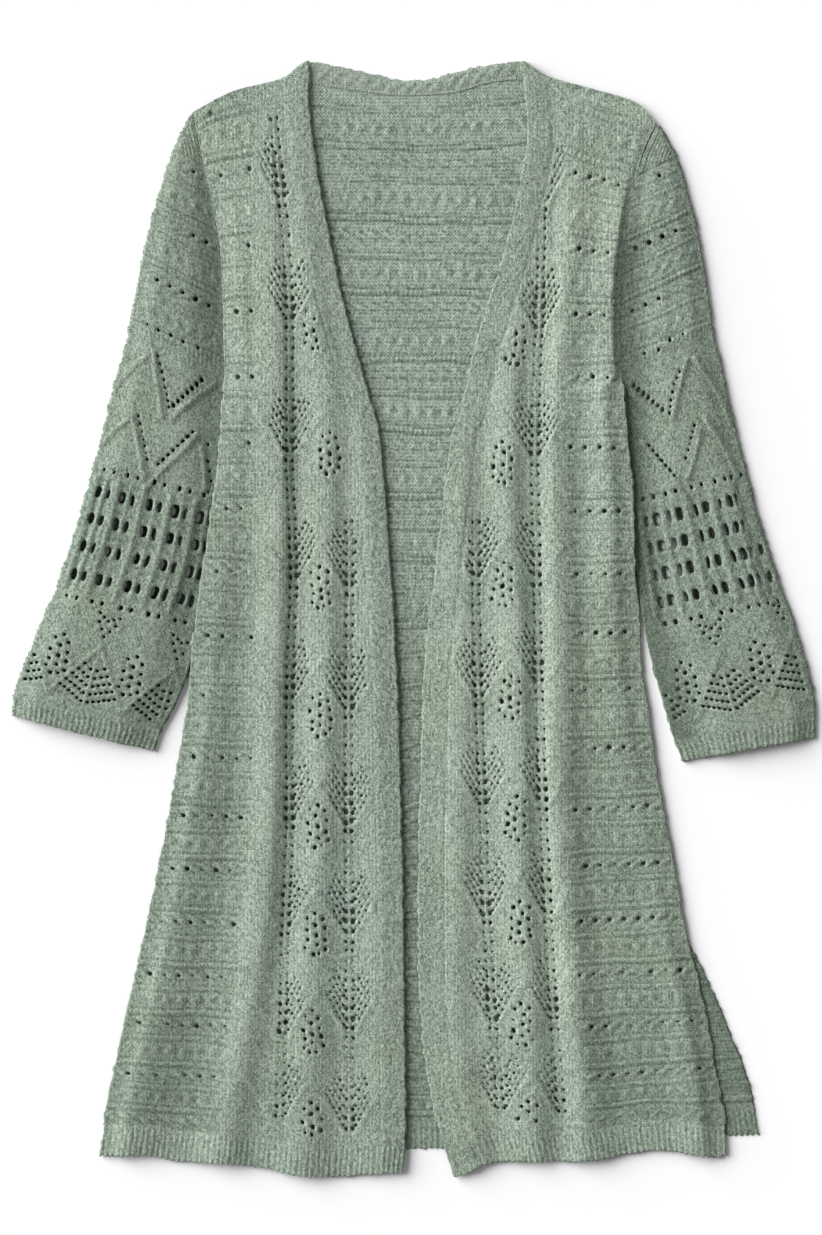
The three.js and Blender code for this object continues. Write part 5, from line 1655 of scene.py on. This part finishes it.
def sleeve_under(sleeve, place):
    """The lower layer lies flat on the table, painted fully shaded; its own lattice lies between the upper
    one's.
    """
    head = sleeve["inner"][0]
    foot = sleeve["inner"][-1]
    v = np.linspace(head, foot + edge_roll + 1, 210)[:, None]
    ends = place(v, 1)[2]
    start = 0.8 / ends
    share = start + (1 - (outer_reach + 0.6) / ends - start) * np.linspace(0, 1, 46)
    x, y, width = place(v, share)
    wale = share * width / stitch_width
    course = -v / stitch_height
    relief = front_grain * yarn_grain(wale + 90, course, sleeve["seed"] + 3)
    grid = as_grid(x, y, cloth - 0.2 + relief, wale, course)
    pairs = sleeve["pairs"]
    between = [(first + second) / 2 for first, second in zip(pairs, pairs[1:])]
    for end, (reach, drop) in under_rolls.items():
        grid = rolled(grid, end, reach, drop)
    # The whole lower layer is painted fully shaded, as it lies inside the sleeve
    return grid, lattice_holes(sleeve, place, between), with_rolls(np.ones(x.shape), under_rolls, 1)


inside_painted_shade = (0.34, 0.38, 0.34, 1)


def shade_inside(material):
    """Paints shade on the face inside the sleeve, where little light gets in between the two layers."""
    tree = material.node_tree
    shader = tree.nodes["Principled BSDF"]
    colour = shader.inputs["Base Color"].links[0].from_socket
    underside = tree.nodes.new("ShaderNodeNewGeometry").outputs["Backfacing"]
    inside = blended(tree, 1.0, colour, inside_painted_shade, "MULTIPLY")
    tree.links.new(blended(tree, underside, inside, colour), shader.inputs["Base Color"])


sleeve_yarn = knit_material("sleeve yarn", dye(82, 98, 82), dye(184, 199, 183), 0.15, 0.0009)
under_yarn = knit_material("sleeve under yarn", dye(98, 113, 98), dye(196, 208, 194), 0.8, 0.0006)
shade_inside(under_yarn)
layer_flat = (0.13, 0.56)
for sleeve in (right_sleeve, left_sleeve):
    upper_node = sleeve["name"] + "_sleeve_top"
    lower_node = sleeve["name"] + "_sleeve_under"
    top, place = sleeve_top(sleeve)
    upper = knit_piece(upper_node + "_knit", [top, cuff_patch(sleeve, place)])
    lower = knit_piece(lower_node + "_knit", [sleeve_under(sleeve, place)])
    finish_piece(lower, under_yarn, lower_node, layer_flat, 0.0515)
    finish_piece(upper, sleeve_yarn, upper_node, layer_flat, 0.0522)

# Table, lights and camera
# The cardigan lies on a matt white studio table. One large soft lamp lights it from the upper left, the
# white room fills the shadows, and the camera looks straight down. Sizes are in metres.
table_half_size = 6.0
table_tone = 0.885
table_mesh = bpy.data.meshes.new("table")
corners = [(x * table_half_size, y * table_half_size, 0) for x, y in ((-1, -1), (1, -1), (1, 1), (-1, 1))]
table_mesh.from_pydata(corners, [], [(0, 1, 2, 3)])
table = bpy.data.objects.new("table", table_mesh)
bpy.context.scene.collection.objects.link(table)
table_white = bpy.data.materials.new("table white")
table_white.use_nodes = True
table_shader = table_white.node_tree.nodes["Principled BSDF"]
table_shader.inputs["Base Color"].default_value = (table_tone, table_tone, table_tone, 1)
table_shader.inputs["Roughness"].default_value = 0.8
table_shader.inputs["Specular IOR Level"].default_value = 0.1
table_mesh.materials.append(table_white)

room_strength = 0.27
world = bpy.data.worlds.new("studio")
world.use_nodes = True
background = world.node_tree.nodes["Background"]
background.inputs["Color"].default_value = (1, 1, 1, 1)
background.inputs["Strength"].default_value = room_strength
bpy.context.scene.world = world
bpy.context.scene.view_settings.view_transform = "Standard"

key_strength = 6.3
key_spread = 1.0
key_elevation = 0.45
key_bearing = 2.68
lamp = bpy.data.lights.new("key", "SUN")
lamp.energy = key_strength
lamp.angle = key_spread
key = bpy.data.objects.new("key", lamp)
key.rotation_euler = (np.pi / 2 - key_elevation, 0, key_bearing + np.pi / 2)
bpy.context.scene.collection.objects.link(key)

camera_height = 4.0
camera_place = (-0.00238, 0.00068)
frame_height = 1.0695
sensor = 36
lens = bpy.data.cameras.new("camera")
lens.sensor_fit = "VERTICAL"
lens.sensor_height = sensor
lens.lens = sensor * camera_height / frame_height
camera = bpy.data.objects.new("camera", lens)
camera.location = (*camera_place, camera_height)
bpy.context.scene.collection.objects.link(camera)
bpy.context.scene.camera = camera
